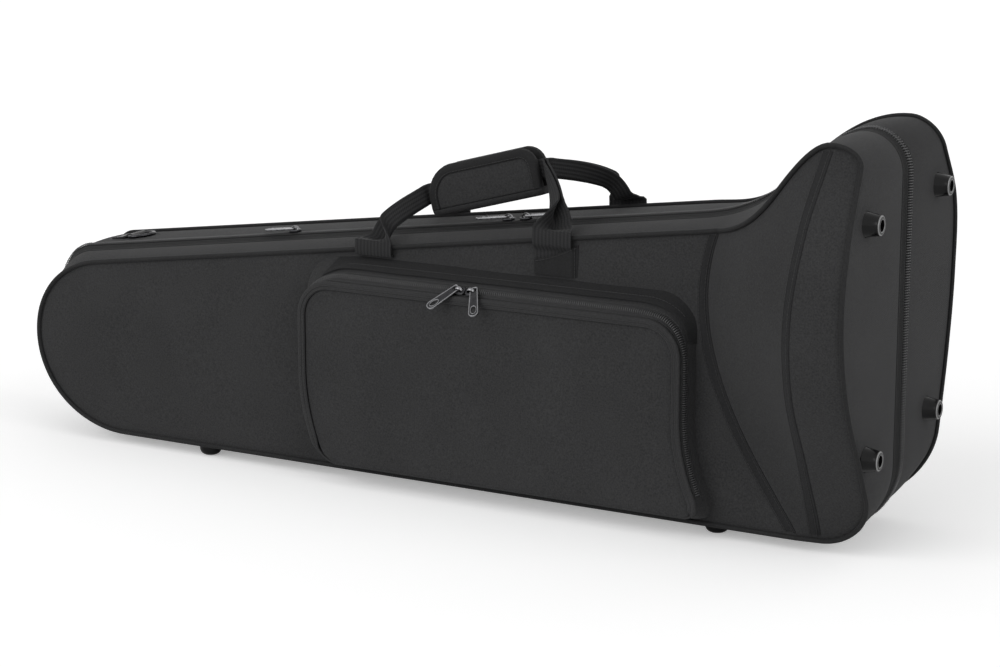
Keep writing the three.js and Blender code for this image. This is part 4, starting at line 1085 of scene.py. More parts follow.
def makeEndFoot(name, body):
    centre = middleOf("end_foot_" + name)
    base, tip, height, edge = (endFoot[key] for key in ("base", "tip", "height", "edge"))
    hole, lip, step, plinth = (endFoot[key] for key in ("hole", "lip", "step", "plinth"))
    seat, bottom = height - endFoot["screwSeat"], height - endFoot["holeDepth"]
    wide = hole + endFoot["screwHead"]
    quarter = lambda count: np.linspace(0, math.pi / 2, count)
    rim = [(tip - edge + edge * math.cos(a), height - edge + edge * math.sin(a)) for a in quarter(5)]
    mouth = [(hole + lip - lip * math.sin(a), height - lip + lip * math.cos(a)) for a in quarter(4)]
    profile = [
        (axle, 0), (base, 0), (base, plinth), (base - step, plinth + step), (tip + 0.2, height - edge - 1),
        *rim, *mouth, (hole, seat), (wide, seat - 0.1), (wide, bottom), (axle, bottom - 0.2),
    ]
    place = lambda p: np.array([caseLength + endFoot["gap"] + p[2], centre[1] + p[0], centre[2] + p[1]])
    label = "endFoot" + name.title().replace("_", "")
    lathe(label, profile, endFoot["sides"], place, body, "end_foot_" + name, endFoot["bright"])


for footName, footBody in endFeet.items():
    makeEndFoot(footName, footBody)

stud = {
    "radius": 11.0, "cap": 4.5, "band": 0.45, "spread": 48.0, "clear": 0.6, "edge": 0.8, "edgeIn": 0.6,
    "sides": 48,
}


def makeStud(side, end):
    half = halves[side]
    node = f"stud_{side}_{end}"
    centre = middleOf(node)
    slope = (half["edge"]["underside"] - partingEdge["underside"]) / (narrowDepth(half, centre[0]) - 1)
    height = partingEdge["underside"] + slope * (stud["spread"] - 1) - stud["clear"]
    band = height * stud["band"]
    radius, cap = stud["radius"], stud["cap"]
    quarter = np.linspace(0, math.pi / 2, 9)
    dome = [(cap + (radius - cap) * math.sin(a), (height - band) * (1 - math.cos(a))) for a in quarter]
    profile = [
        (axle, 0), *dome, (radius, height - stud["edge"]), (radius - stud["edgeIn"], height), (axle, height),
    ]

    def place(p):
        tilt = slope * p[1] * half["side"] if p[2] > height - band else 0
        return np.array([centre[0] + p[0], half["side"] * stud["spread"] + p[1], p[2] + tilt])

    lathe(f"stud{side.title()}{end.title()}", profile, stud["sides"], place, half["body"], node)


for side in halves:
    for end in ("tip", "bell"):
        makeStud(side, end)
print("feet and studs made")

# Pocket: its side band, the zip round its top and sides, the rain flap, the edge binding and the padded panel

pocket = {
    "fromTip": 358.0, "fromBell": 172.0, "top": 223.0, "bottom": 17.0, "baseRadius": 34.0, "footRadius": 20.0,
    "depth": 25.0, "frontInset": 6.5, "topDrop": 21.0, "bottomRise": 5.0, "wall": 2.2, "gap": 0.3,
    "rightFootLean": 26.0, "leftFootLean": 22.0, "leanHeight": 92.0, "step": 5.0,
}
# The band and its zip are given in shares of the pocket's depth, from the case's face to the pocket's front.
pocketBand = {
    "shares": (0, 0.06, 0.15, 0.27, 0.4, 0.5, 0.62, 0.75, 0.88, 0.97, 1.0), "innerShares": (1.0, 0.5, 0.0),
    "puff": 0.9, "ripple": 0.35, "rippleSize": 22.0,
}
pocketZip = {
    "start": 0.5, "end": 0.93, "coil": 0.72, "lift": 0.5, "seam": 0.6, "sunk": 0.5, "raised": 0.1,
    "groove": 0.15,
    "width": 12.5, "stitches": (0.565, 0.9), "stitchLift": 0.12, "coilSunk": 0.05, "lowest": 30.0,
}
rainFlap = {
    "reach": 11.0, "thickness": 1.4, "lift": 2.4, "rootLift": 0.2, "rise": 5.0, "sag": 0.5, "width": 12.5,
    "stitchShare": 0.72, "stitchLift": 0.15, "stitchEnds": 6,
}
# Grown outwards and off the panel's plane; along the pocket's lower edge it is tucked in.
binding = {
    "tuckedShare": 0.22, "flatShare": 0.5, "clear": 0.35, "tuckFrom": 0.25, "tuckOver": 0.6,
    "stitches": (-2.0, -5.2), "stitchLift": 3.5, "stitchAbove": -0.2,
    "profile": (
        (1.3, -0.1), (1.9, 1.2), (1.7, 2.4), (0.9, 3.15), (-0.2, 3.45), (-1.7, 3.5), (-2.5, 3.4),
        (-2.9, 3.05),
        (-3.3, 3.4), (-4.3, 3.5), (-5.6, 3.4), (-6.2, 2.9), (-6.4, 2.2), (-5.8, 1.4), (-1.6, 0.3),
    ),
}
panel = {
    "inset": 5.9, "lowInset": 0.6, "front": 1.2, "back": 0.4, "crown": 2.6, "fade": 20.0, "ripple": 0.5,
    "rippleSize": 60.0, "columns": 90, "rowStep": 4.6, "cap": 5.0, "pressure": 1.6, "fill": 0.5,
}


outwards = np.array([0, -1.0, 0])  # off the front half's face


def onFace(x, z, off):
    return np.array([x, -(narrowDepth(halves["front"], x) + off), z])


# How far a height has come into the slanted lower part of the pocket's ends.
def lowShare(z, bottom):
    return within(1 - (z - bottom) / pocket["leanHeight"]) ** 2


def pocketOutline(share):
    left = pocket["fromTip"] + pocket["frontInset"] * share
    right = caseLength - pocket["fromBell"] - pocket["frontInset"] * share
    top = pocket["top"] - pocket["topDrop"] * share
    bottom = pocket["bottom"] + pocket["bottomRise"] * share
    radius, foot = pocket["baseRadius"], pocket["footRadius"]
    points = []
    corners = (
        (left + foot, bottom + foot, foot, math.pi), (right - foot, bottom + foot, foot, 1.5 * math.pi),
        (right - radius, top - radius, radius, 0), (left + radius, top - radius, radius, 0.5 * math.pi),
    )
    for x, z, r, start in corners:
        angles = start + np.linspace(0, math.pi / 2, 15)
        points += [(x + r * math.cos(a), z + r * math.sin(a)) for a in angles]
    middle = (left + right) / 2
    leaned = []
    for n, (x, z) in enumerate(points):
        x1, z1 = points[(n + 1) % len(points)]
        count = max(1, round(math.dist((x, z), (x1, z1)) / pocket["step"]))
        for k in range(count):
            px, pz = lerp(x, x1, k / count), lerp(z, z1, k / count)
            lean = pocket["rightFootLean"] if px > middle else pocket["leftFootLean"]
            leaned.append((px + lean * lowShare(pz, bottom), pz))
    return np.array(leaned)


pocketBack, pocketFront = pocketOutline(0), pocketOutline(1)
pocketCount = len(pocketFront)
pocketAlong = np.roll(pocketFront, -1, 0) - np.roll(pocketFront, 1, 0)
pocketAlong /= np.linalg.norm(pocketAlong, axis=1)[:, None]
pocketNormals = np.stack([pocketAlong[:, 1], -pocketAlong[:, 0]], 1)
pocketRun = runAlong(pocketFront)


# A place on the pocket's side band: share 0 is at the case's face and 1 at the front edge.
def bandPoint(k, share, out=0.0):
    x, z = lerp(pocketBack[k], pocketFront[k], share) + pocketNormals[k] * out
    return onFace(x, z, lerp(pocket["gap"], pocket["depth"], share))


def bandNormal(k):
    slope = np.linalg.norm(pocketBack[k] - pocketFront[k]) / pocket["depth"]
    n = pocketNormals[k]
    return unit(np.array([n[0], -slope, n[1]]))


def makePocketBand():
    shares = pocketBand["shares"]

    def puff(k, s):
        if s >= pocketZip["start"]:
            return 0.0
        ripple = noise.noise(Vector(bandPoint(k, s)) / pocketBand["rippleSize"])
        return (pocketBand["puff"] + pocketBand["ripple"] * ripple) * math.sin(math.pi * s)

    sections = []
    for k in range(pocketCount):
        outer = [bandPoint(k, s, puff(k, s)) for s in shares]
        inner = [bandPoint(k, s, -pocket["wall"]) for s in pocketBand["innerShares"]]
        sections.append(outer + inner)
    around = [s * 32 for s in shares] + [34, 50, 66]
    piece = sweep("pocketBand", sections, "coverCloth", around, pocketRun, closed=True)
    return settle(piece, "lid", ["pocket_band"], "cover")


# The zip leaves out the pocket's lower edge, which is sewn shut.
def zipRun():
    keep = [k for k in range(pocketCount) if pocketFront[k][1] > pocket["bottom"] + pocketZip["lowest"]]
    start = next(n for n in range(len(keep)) if keep[n] - keep[n - 1] not in (1, 1 - pocketCount))
    return keep[start:] + keep[:start]


def addBandRow(kind, places, share, out):
    addRow(kind, "lid", [bandPoint(k, share, out) for k in places], [bandNormal(k) for k in places])


def makePocketZip():
    run = zipRun()
    s0, s1, lift, sunk = (pocketZip[key] for key in ("start", "end", "lift", "sunk"))
    high, seamed = lift + pocketZip["raised"], lift - pocketZip["groove"]
    profile = [
        (s0, -sunk), (s0, lift), (0.58, high), (pocketZip["seam"], seamed), (0.62, high), (0.69, lift),
        (pocketZip["coil"], lift - 0.2), (0.75, lift), (0.83, high), (0.85, seamed), (0.87, high), (s1, lift),
        (s1, -sunk),
    ]
    sections = [[bandPoint(k, s, out) for s, out in profile] for k in run]
    piece = sweep("pocketZipTape", sections, "zipCloth", [s * 30 for s, _ in profile])
    settle(piece, "lid", [], "zip_tape")
    flat = (pocketZip["width"] / 1000, lengthAlong(sections, 4))
    addBandRow("smallCoil", run, pocketZip["coil"], lift - pocketZip["coilSunk"])
    for share in pocketZip["stitches"]:
        addBandRow("stitch", run, share, lift + pocketZip["stitchLift"])


def makeRainFlap():
    reach = rainFlap["reach"] / pocket["depth"]
    lift, thick = rainFlap["lift"], rainFlap["thickness"]
    high = [k for k in range(pocketCount) if pocketNormals[k][1] > 0.5]
    sections = []
    for n, k in enumerate(high):
        close = min(n, len(high) - 1 - n) / rainFlap["rise"]
        rise = lift * min(close, 1) + rainFlap["rootLift"]
        wave = rainFlap["sag"] * noise.noise(Vector((n / 5.0, 1.7, 0)))
        out = lambda s: rise + wave * s / reach
        top = [(s, out(s) + thick) for s in np.linspace(0, reach, 7)]
        nose = [(reach + 0.04, out(reach) + thick * 0.75), (reach + 0.05, out(reach) + thick * 0.35)]
        under = [(s, out(s)) for s in np.linspace(reach, 0.08, 5)]
        sections.append([bandPoint(k, s, o) for s, o in top + nose + under] + [bandPoint(k, 0, 0.1)])
    piece = sweep("rainFlap", sections, "edgeCloth", list(np.linspace(0, 26, len(sections[0]))))
    settle(piece, "lid", ["pocket_rain_flap"], "dark_cloth")
    flat = (rainFlap["width"] / 1000, lengthAlong(sections, 3))
    sewn = high[rainFlap["stitchEnds"]:-rainFlap["stitchEnds"]]
    addBandRow("stitch", sewn, reach * rainFlap["stitchShare"], lift + thick + rainFlap["stitchLift"])


def makeBinding():
    sections = []
    for k in range(pocketCount):
        n = pocketNormals[k]
        tuck = ease(within((-n[1] - binding["tuckFrom"]) / binding["tuckOver"]))
        narrow, flat = lerp(1.0, binding["tuckedShare"], tuck), lerp(1.0, binding["flatShare"], tuck)
        lowest = binding["clear"] * tuck
        folded = [(grow * narrow, max(off * flat, lowest)) for grow, off in binding["profile"]]
        sections.append([onFace(*(pocketFront[k] + n * grow), pocket["depth"] + off) for grow, off in folded])
    around = runAlong(binding["profile"])
    piece = sweep("pocketBinding", sections, "zipCloth", around, pocketRun, closed=True)
    settle(piece, "pocket_door", ["pocket_piping"], "dark_cloth")
    upper = [k for k in zipRun() if pocketNormals[k][1] > binding["stitchAbove"]]
    off = pocket["depth"] + binding["stitchLift"]
    for grow in binding["stitches"]:
        row = [onFace(*(pocketFront[k] + pocketNormals[k] * grow), off) for k in upper]
        addRow("stitch", "pocket_door", row, [outwards] * len(upper))


# Left and right ends of the panel at a height, inside the binding.
def panelSpan(z):
    inner = panel["inset"]
    left = pocket["fromTip"] + pocket["frontInset"] + inner
    right = caseLength - pocket["fromBell"] - pocket["frontInset"] - inner
    top = pocket["top"] - pocket["topDrop"] - inner
    bottom = pocket["bottom"] + pocket["bottomRise"] + panel["lowInset"]
    radius, foot = pocket["baseRadius"] - inner, pocket["footRadius"] - inner
    cut = 0.0
    if z > top - radius:
        cut = radius - math.sqrt(max(radius ** 2 - (z - top + radius) ** 2, 0))
    if z < bottom + foot:
        cut = foot - math.sqrt(max(foot ** 2 - (bottom + foot - z) ** 2, 0))
    low = lowShare(z, bottom)
    return left + cut + low * pocket["leftFootLean"], right - cut + low * pocket["rightFootLean"], bottom, top


def roundedRows(bottom, top, lowRadius, highRadius, step):
    low = [bottom + lowRadius * (1 - math.cos(a)) for a in np.linspace(0.12, math.pi / 2, 6)]
    high = [top - highRadius * (1 - math.cos(a)) for a in np.linspace(0.08, math.pi / 2, 9)][::-1]
    middle = list(np.linspace(low[-1], high[0], max(3, round((high[0] - low[-1]) / step))))[1:-1]
    return low + middle + high


# A pillow of two facing grids joined round their rims; hold is 1 where cloth simulation may not move it.
def pillow(rows, span, columns, frontAt, backAt):
    skin = Skin()
    hold, sheets = [], []
    rowEnds, columnEnds = (0, len(rows) - 1), (0, columns)
    for at in (frontAt, backAt):
        sheet = []
        for r, z in enumerate(rows):
            left, right = span(z)
            line = []
            for c in range(columns + 1):
                x = lerp(left, right, c / columns)
                edge = min(x - left, right - x, z - rows[0], rows[-1] - z)
                line.append(at(x, z, max(edge, 0)))
                hold.append(1.0 if at is backAt or r in rowEnds or c in columnEnds else 0.0)
            sheet.append(skin.ring(line))
        sheets.append(sheet)
    for s, sheet in enumerate(sheets):
        for r in range(len(rows) - 1):
            for c in range(columns):
                quad = [sheet[r][c], sheet[r][c + 1], sheet[r + 1][c + 1], sheet[r + 1][c]]
                if s:
                    quad.reverse()
                skin.flatFace(quad)
    front, back = (
        sheet[0] + [row[-1] for row in sheet[1:]] + sheet[-1][-2::-1] + [row[0] for row in sheet[-2:0:-1]]
        for sheet in sheets
    )
    skin.band(back, front, [2.0 * k for k in range(len(front))], 0, 4)
    return skin, hold


padCloth = {"quality": 6, "mass": 0.3, "stretch": 15, "bend": 6, "frames": 20}


# Inflates the free part of a pad, keeps each point within the cap of its start, and smooths the result once.
def inflate(obj, hold, pressure, cap):
    start = np.array([v.co for v in obj.data.vertices])
    group = obj.vertex_groups.new(name="held")
    for k, weight in enumerate(hold):
        if weight:
            group.add([k], weight, "REPLACE")
    cloth = obj.modifiers.new("cloth", "CLOTH")
    settings = cloth.settings
    settings.quality = padCloth["quality"]
    settings.mass = padCloth["mass"]
    settings.tension_stiffness = padCloth["stretch"]
    settings.compression_stiffness = padCloth["stretch"]
    settings.bending_stiffness = padCloth["bend"]
    settings.use_pressure = True
    settings.uniform_pressure_force = pressure
    settings.effector_weights.gravity = 0
    settings.vertex_group_mass = "held"
    cloth.collision_settings.use_collision = False
    for step in range(1, padCloth["frames"] + 1):
        scene.frame_set(step)
    bake(obj)
    scene.frame_set(1)
    moved = np.array([v.co for v in obj.data.vertices]) - start
    length = np.linalg.norm(moved, axis=1)
    shorter = np.minimum(length, cap / 1000) / np.maximum(length, 1e-9)
    obj.data.vertices.foreach_set("co", (start + moved * shorter[:, None]).ravel())
    obj.data.update()
    obj.modifiers.new("finer", "SUBSURF").levels = 1
    bake(obj)
    shadeSmooth(obj.data)
    return obj


def makePanel():
    _, _, bottom, top = panelSpan(pocket["leanHeight"])
    lowRadius, highRadius = (pocket[key] - panel["inset"] for key in ("footRadius", "baseRadius"))
    rows = roundedRows(bottom, top, lowRadius, highRadius, panel["rowStep"])

    def front(x, z, edge):
        crown = panel["crown"] * (1 - math.exp(-edge / panel["fade"]))
        ripple = panel["ripple"] * noise.noise(Vector((x, z, 0)) / panel["rippleSize"])
        return onFace(x, z, pocket["depth"] + panel["front"] + crown + ripple)

    def back(x, z, edge):
        return onFace(x, z, pocket["depth"] + panel["back"])

    skin, hold = pillow(rows, lambda z: panelSpan(z)[:2], panel["columns"], front, back)
    obj = inflate(skin.build("pocketPanel", "coverCloth"), hold, panel["pressure"], panel["cap"])
    settle(obj, "pocket_door", ["pocket_panel"], "cover")


makePocketBand()
makePocketZip()
makeRainFlap()
makeBinding()
makePanel()
print("pocket made")

# Straps: webbing flat on the case, folded lengthwise on its way to the grip

# Each knee gives, by the half's side, how far out and how high a strap's leg bends on its way to the grip.
webbing = {
    "width": 40.0, "thickness": 1.7, "leftFromTip": 438.0, "rightFromTip": 633.0, "piping": 2.2,
    "folded": 4.4,
    "aboveFlap": 1.0, "rearHeight": 180.0, "flapTop": 227.0, "gap": 0.3,
    "knee": {-1: (0.3, 0.5), 1: (0.18, 0.72)},
    "bend": 2.6, "spots": 25, "foldedBy": 0.42, "ease": 0.8, "step": 3.0,
}
grip = {
    "fromBell": 426.0, "lift": 41.8, "tilt": 15.0, "length": 124.0, "tall": 48.0, "pad": 7.0, "fold": 6.5,
    "corner": 31.0, "rightCorner": 18.0, "inside": 10.0, "edging": 9.0, "pressure": 2.2, "cap": 4.0,
    "columns": 46, "fill": 0.8, "shrink": 0.985, "front": 1.2, "back": 0.4, "swell": 0.6, "swellFade": 6.0,
    "stitchInset": 1.4, "stitchLift": 0.7,
}
gripTilt = math.radians(grip["tilt"])
gripX = caseLength - grip["fromBell"]
gripMiddle = np.array([gripX, 0, topHeight(partingEdge, gripX) + grip["lift"]])
gripAxis = np.array([math.cos(gripTilt), 0, math.sin(gripTilt)])
gripUp = np.array([-math.sin(gripTilt), 0, math.cos(gripTilt)])


def gripPoint(along, y, up):
    return gripMiddle + gripAxis * along + gripUp * up + np.array([0, y, 0])


# Webbing section in (across, thick): one half turned over the other by fold, from 0 to 1.
def webSection(width, thickness, fold):
    half, bend = width / 2, webbing["bend"]
    spots = np.linspace(-half, half, webbing["spots"])
    angles = [math.pi * fold * (1 - within((s + bend) / (2 * bend))) for s in spots]
    line = [np.zeros(2)]
    for a, b, s0, s1 in zip(angles[::-1], angles[-2::-1], spots[::-1], spots[-2::-1]):
        mid = (a + b) / 2
        line.append(line[-1] - np.array([math.cos(mid), -math.sin(mid)]) * (s0 - s1))
    line = np.array(line[::-1])
    normals = np.array([(math.sin(a), math.cos(a)) for a in angles])
    line -= (line.min(0) + line.max(0)) / 2
    top = line + normals * thickness / 2
    low = line - normals * thickness / 2
    return np.concatenate([low, top[::-1]])


# Places along a strap, each with its heading and how far it is folded.
def strapFrames(half, foot):
    side = half["side"]
    flat = webbing["gap"] * 2 + webbing["thickness"] / 2 + 0.4
    over = webbing["piping"] * 2 + flat
    inGrip = side * (webbing["folded"] / 2 + webbing["gap"])
    reach = grip["length"] / 2 + webbing["folded"]

    def leg(x, heading, end):
        deep = narrowDepth(half, x)
        top = topHeight(half["edge"], x)
        rise = half["edge"]["topSlope"] * webbing["width"] / 2 + webbing["piping"]
        at = lambda off, z: np.array([x, side * (deep + off), z])
        start = at(over, top + rise + webbing["piping"] * 2)
        keys = [(at(flat, foot), heading, 0.0), (at(flat, max(top - rise - 4.4, foot + 2.2)), heading, 0.0),
                (at(over, top - rise), heading, 0.0), (start, heading, 0.0)]
        to = gripPoint(end * reach, inGrip, 0)
        level, high = webbing["knee"][side]
        knee = np.array([start[0], lerp(start[1], to[1], level), lerp(start[2], to[2], high)])
        for share in np.linspace(0.08, 0.95, 12):
            place = (1 - share) ** 2 * start + 2 * share * (1 - share) * knee + share ** 2 * to
            fold = min(share / webbing["foldedBy"], 1) ** webbing["ease"]
            keys.append((place, lerp(heading, gripTilt, share ** webbing["ease"]), fold))
        return keys

    left = leg(webbing["leftFromTip"], math.pi / 2, -1)
    right = leg(webbing["rightFromTip"], -math.pi / 2, 1)[::-1]
    middle = [(gripPoint(share * reach, inGrip, 0), gripTilt, 1.0) for share in np.linspace(-1, 1, 9)]
    return left + middle + right


def smoothFrames(frames, step):
    out = []
    for k in range(len(frames) - 1):
        around = [frames[within(k + n, 0, len(frames) - 1)][0] for n in (-1, 0, 1, 2)]
        count = max(1, round(np.linalg.norm(around[2] - around[1]) / step))
        _, heading, fold = frames[k]
        _, nextHeading, nextFold = frames[k + 1]
        for n in range(count):
            t = n / count
            out.append((through(*around, t), lerp(heading, nextHeading, t), lerp(fold, nextFold, t)))
    return out + [frames[-1]]


def makeStrap(side, foot):
    half = halves[side]
    width, thickness = webbing["width"], webbing["thickness"]
    frames = smoothFrames(strapFrames(half, foot), webbing["step"])
    sections = []
    for k, (place, heading, fold) in enumerate(frames):
        along = unit(frames[min(k + 1, len(frames) - 1)][0] - frames[max(k - 1, 0)][0])
        across = np.array([-math.sin(heading), 0, math.cos(heading)])
        thick = unit(np.cross(along, across))
        outward = 1 if thick[1] * half["side"] > 0 else -1
        section = webSection(width, thickness, fold)
        sections.append([place + across * a + thick * outward * t for a, t in section])
    if half["side"] > 0:
        sections = [list(reversed(s)) for s in sections]
    ribs = list(np.linspace(0, width, webbing["spots"]))
    piece = sweep(side + "Strap", sections, "webbing", ribs + [width + thickness + v for v in ribs])
    settle(piece, half["body"], [side + "_strap"], "webbing")
    flat = (width / 1000, lengthAlong(frames))


# A box with a cross sewn through a strap's foot.
boxSeam = {"inset": 3.0, "lift": 0.5, "points": 8, "tall": 34.0}


def boxStitch(side, x, foot):
    half = halves[side]
    off = narrowDepth(half, x) + webbing["gap"] * 2 + webbing["thickness"] + boxSeam["lift"]
    w, h = webbing["width"] / 2 - boxSeam["inset"], boxSeam["tall"] / 2 - boxSeam["inset"]
    middle = np.array([x, half["side"] * off, foot + boxSeam["tall"] / 2])
    corners = [np.array([a, 0, b]) for a, b in ((-w, -h), (w, -h), (w, h), (-w, h))]
    count = boxSeam["points"]
    for a, b in ((0, 1), (1, 2), (2, 3), (3, 0), (0, 2), (1, 3)):
        row = [middle + lerp(corners[a], corners[b], t) for t in np.linspace(0, 1, count)]
        addRow("stitch", half["body"], row, [np.array([0, half["side"], 0.0])] * count)


# A smooth cloth patch sewn over the foot of the front strap's right leg, its top edge cut on a slant.
patch = {
    "left": -19.6, "right": 25.0, "low": 1.6, "leftTop": 16.0, "rightTop": 32.0, "slant": 1.4, "thick": 0.9,
    "over": 3.1, "beside": 0.7, "slope": 3.0, "ripple": 0.35, "rippleSize": 9.0, "columns": 30, "rows": 9,
    "stitchInset": 1.8,
}


def makePatch():
    foot = webbing["flapTop"] + patch["low"]
    sections, under = [], []
    for share in np.linspace(0, 1, patch["columns"] + 1):
        across = lerp(patch["left"], patch["right"], share)
        slide = within((across - webbing["width"] / 2) / patch["slope"])
        base = lerp(patch["over"], patch["beside"], ease(slide))
        top = webbing["flapTop"] + lerp(patch["leftTop"], patch["rightTop"], share ** patch["slant"])
        heights = np.linspace(foot, top, patch["rows"])
        spots = [Vector((across, z, 0)) / patch["rippleSize"] + Vector((0, 0, 4)) for z in heights]
        wave = [patch["ripple"] * noise.noise(spot) for spot in spots]
        x = webbing["rightFromTip"] + across
        outer = [onFace(x, z, base + patch["thick"] + w) for z, w in zip(heights, wave)]
        inner = [onFace(x, z, base + min(w, 0)) for z, w in zip(heights[::-1], wave[::-1])]
        sections.append(outer + inner)
        under.append((x, foot, top, base + patch["thick"] + patch["ripple"]))
    piece = sweep("strapPatch", sections, "edgeCloth", [3.0 * n for n in range(patch["rows"] * 2)])
    settle(piece, "lid", ["front_strap"], "dark_cloth")
    upper = [onFace(x, top - patch["stitchInset"], off) for x, _, top, off in under[2:-2]]
    x, low, top, off = under[-3]
    side = [onFace(x, z, off) for z in np.linspace(low + 1.5, top - 2, 8)]
    for row in (upper, side):
        addRow("stitch", "lid", row, [outwards] * len(row))


for side, foot in (("front", webbing["flapTop"] + webbing["aboveFlap"]), ("rear", webbing["rearHeight"])):
    makeStrap(side, foot)
makePatch()
for x in (webbing["leftFromTip"], webbing["rightFromTip"]):
    boxStitch("rear", x, webbing["rearHeight"])
print("straps made")

# Grip: a padded back folded under the straps, a padded flap, and an edging tape round both


def gripRows():
    low, high = grip["fold"] - grip["tall"] / 2, grip["tall"] / 2
    curve = [high - grip["corner"] * (1 - math.cos(a)) for a in np.linspace(0.1, math.pi / 2, 9)][::-1]
    return list(np.linspace(low, curve[0], 7))[:-1] + curve


def gripSpan(z):
    cuts = []
    for corner in (grip["corner"], grip["rightCorner"]):
        into = max(z - grip["tall"] / 2 + corner, 0)
        cuts.append(corner - math.sqrt(max(corner ** 2 - into ** 2, 0)))
    return -grip["length"] / 2 + cuts[0], grip["length"] / 2 - cuts[1]


def makeGripPad(name, node, body, near, away):
    side = 1 if away > near else -1
    shrink = grip["shrink"]

    def front(x, z, edge):
        swell = grip["swell"] * (1 - math.exp(-edge / grip["swellFade"]))
        return gripPoint(x * shrink, away - side * (grip["front"] - swell), z * shrink)

    def back(x, z, edge):
        return gripPoint(x * shrink, near + side * grip["back"], z * shrink)

    skin, hold = pillow(gripRows(), gripSpan, grip["columns"], front, back)
    obj = inflate(skin.build(name, "coverCloth"), hold, grip["pressure"], grip["cap"])
    settle(obj, body, [node], "cover")
    rows = gripRows()
    foot = grip["fold"] - grip["tall"] / 2 + 1
    left = [(-grip["length"] / 2, foot)] + [(gripSpan(z)[0], z) for z in rows[1:]]
    over = [(x, rows[-1]) for x in np.linspace(*gripSpan(rows[-1]), 24)[1:-1]]
    right = [(gripSpan(z)[1], z) for z in rows[::-1][:-1]] + [(grip["length"] / 2, foot)]
    path = np.array(left + over + right)
    run = np.gradient(path, axis=0)
    run /= np.linalg.norm(run, axis=1)[:, None]
    normals = np.stack([-run[:, 1], run[:, 0]], 1)
    if (normals[len(path) // 2][1]) < 0:
        normals = -normals
    thick = abs(away - near)
    reach = grip["edging"]
    place = lambda p, n, grow, y: gripPoint(p[0] + n[0] * grow, y, p[1] + n[1] * grow)
    profile = [
        (-reach, thick + 0.3), (-reach + 0.6, thick + 0.75), (-2, thick + 0.5), (-0.2, thick - 0.6),
        (0.45, thick * 0.5), (-0.2, 0.8), (-2.0, 0.15), (-reach, 0.1),
    ]
    sections = [[place(p, n, grow, near + side * h) for grow, h in profile] for p, n in zip(path, normals)]
    edge = sweep(name + "Edging", sections, "edgeCloth", runAlong(profile))
    settle(edge, body, [node], "dark_cloth")
    lengthAlong(sections, 3)
    off = away + side * grip["stitchLift"]
    inner = [place(p, n, grip["stitchInset"] - reach, off) for p, n in zip(path, normals)]
    addRow("stitch", body, inner[1:-1], [np.array([0, side, 0.0])] * (len(path) - 2))


def makeGripFold():
    outer = grip["inside"] / 2 + grip["pad"]
    low, h = -grip["tall"] / 2, grip["fold"]
    top, quarter = low + h + 0.2, math.pi / 2
    right = [(outer - h + h * math.cos(a), low + h - h * math.sin(a)) for a in np.linspace(0.1, quarter, 8)]
    turns = np.linspace(0, quarter - 0.1, 8)
    left = [(-outer + h - h * math.sin(a), low + h - h * math.cos(a)) for a in turns]
    pads = [(-outer + grip["pad"], top), (outer - grip["pad"], top)]
    profile = [(outer, top), *right, *left, (-outer, top), *pads]
    sections = []
    for along in np.linspace(-grip["length"] / 2, grip["length"] / 2, 40):
        ends = min(grip["length"] / 2 - abs(along), 5) / 5
        tuck = 1 - 0.1 * (1 - ends) ** 2
        sections.append([gripPoint(along, y * tuck, z + (1 - tuck) * 12) for y, z in profile])
    piece = sweep("gripFold", sections, "coverCloth", runAlong(profile))
    settle(piece, "base", ["grip_back"], "cover")


inside = grip["inside"] / 2
makeGripPad("gripBack", "grip_back", "base", inside, inside + grip["pad"])
makeGripPad("gripFlap", "grip_flap", "grip_front", -inside, -inside - grip["pad"])
makeGripFold()
print("grip made")

# Zip sliders and their pulls, each in a frame of its own: x along the zip, z out of it

topTilt = math.atan(partingEdge["topSlope"])
zipAlong = np.array([math.cos(topTilt), 0, math.sin(topTilt)])
zipUp = np.array([-math.sin(topTilt), 0, math.cos(topTilt)])
# Each level of a slider's body has its share of the full outline and its height.
slider = {
    "length": 12.0, "width": 9.5, "height": 2.6, "crown": 4.0, "wire": 1.1, "bridge": 1.6, "bridgeFoot": 0.25,
    "bar": 0.62, "clear": 1.8, "waist": 0.12, "archEnds": 0.12, "levels": (
        (0.84, 0.0), (0.96, 0.12), (1.0, 0.45), (1.0, 0.95), (0.94, 1.1), (0.94, 1.4), (1.0, 1.55),
        (1.0, 2.1),
        (0.96, 2.45), (0.86, 2.62), (0.5, 2.7),
    ),
}
pull = {
    "length": 36.0, "head": 3.9, "tip": 5.0, "headRound": 0.55, "tipRound": 0.96, "thick": 1.4,
    "rimThick": 2.0,
    "bevel": 0.3, "ride": 0.45, "eye": (3.8, 2.5, 2.3), "hole": (24.2, 4.5, 2.5), "rim": 1.1, "inset": 0.2,
    "collar": 0.8,
}
# Each slider's distance from the tip and the way its pull points.
mainTurn = {"outer": (304.0, math.pi), "left": (549.0, math.pi), "right": (568.0, 0.0)}
pocketTurn = {"left": (543.0, math.radians(-126)), "right": (556.0, math.radians(-68))}


def frameAt(origin, along, across, up):
    axes = np.array([along, across, up], float)
    return lambda p: np.asarray(origin, float) + np.asarray(p, float) @ axes


def joinSkin(skin, name, material, body, node, slot):
    obj = skin.build(name, material)
    bm = bmesh.new()
    bm.from_mesh(obj.data)
    bmesh.ops.recalc_face_normals(bm, faces=bm.faces)
    bm.to_mesh(obj.data)
    bm.free()
    return settle(obj, body, [node], slot)


def sliderOutline():
    spots = []
    for a in fullTurn(32):
        x = slider["length"] / 2 * math.copysign(abs(math.cos(a)) ** 0.5, math.cos(a))
        y = slider["width"] / 2 * math.copysign(abs(math.sin(a)) ** 0.5, math.sin(a))
        spots.append((x, y * (1 - slider["waist"] + slider["waist"] * (2 * x / slider["length"]) ** 2)))
    return spots


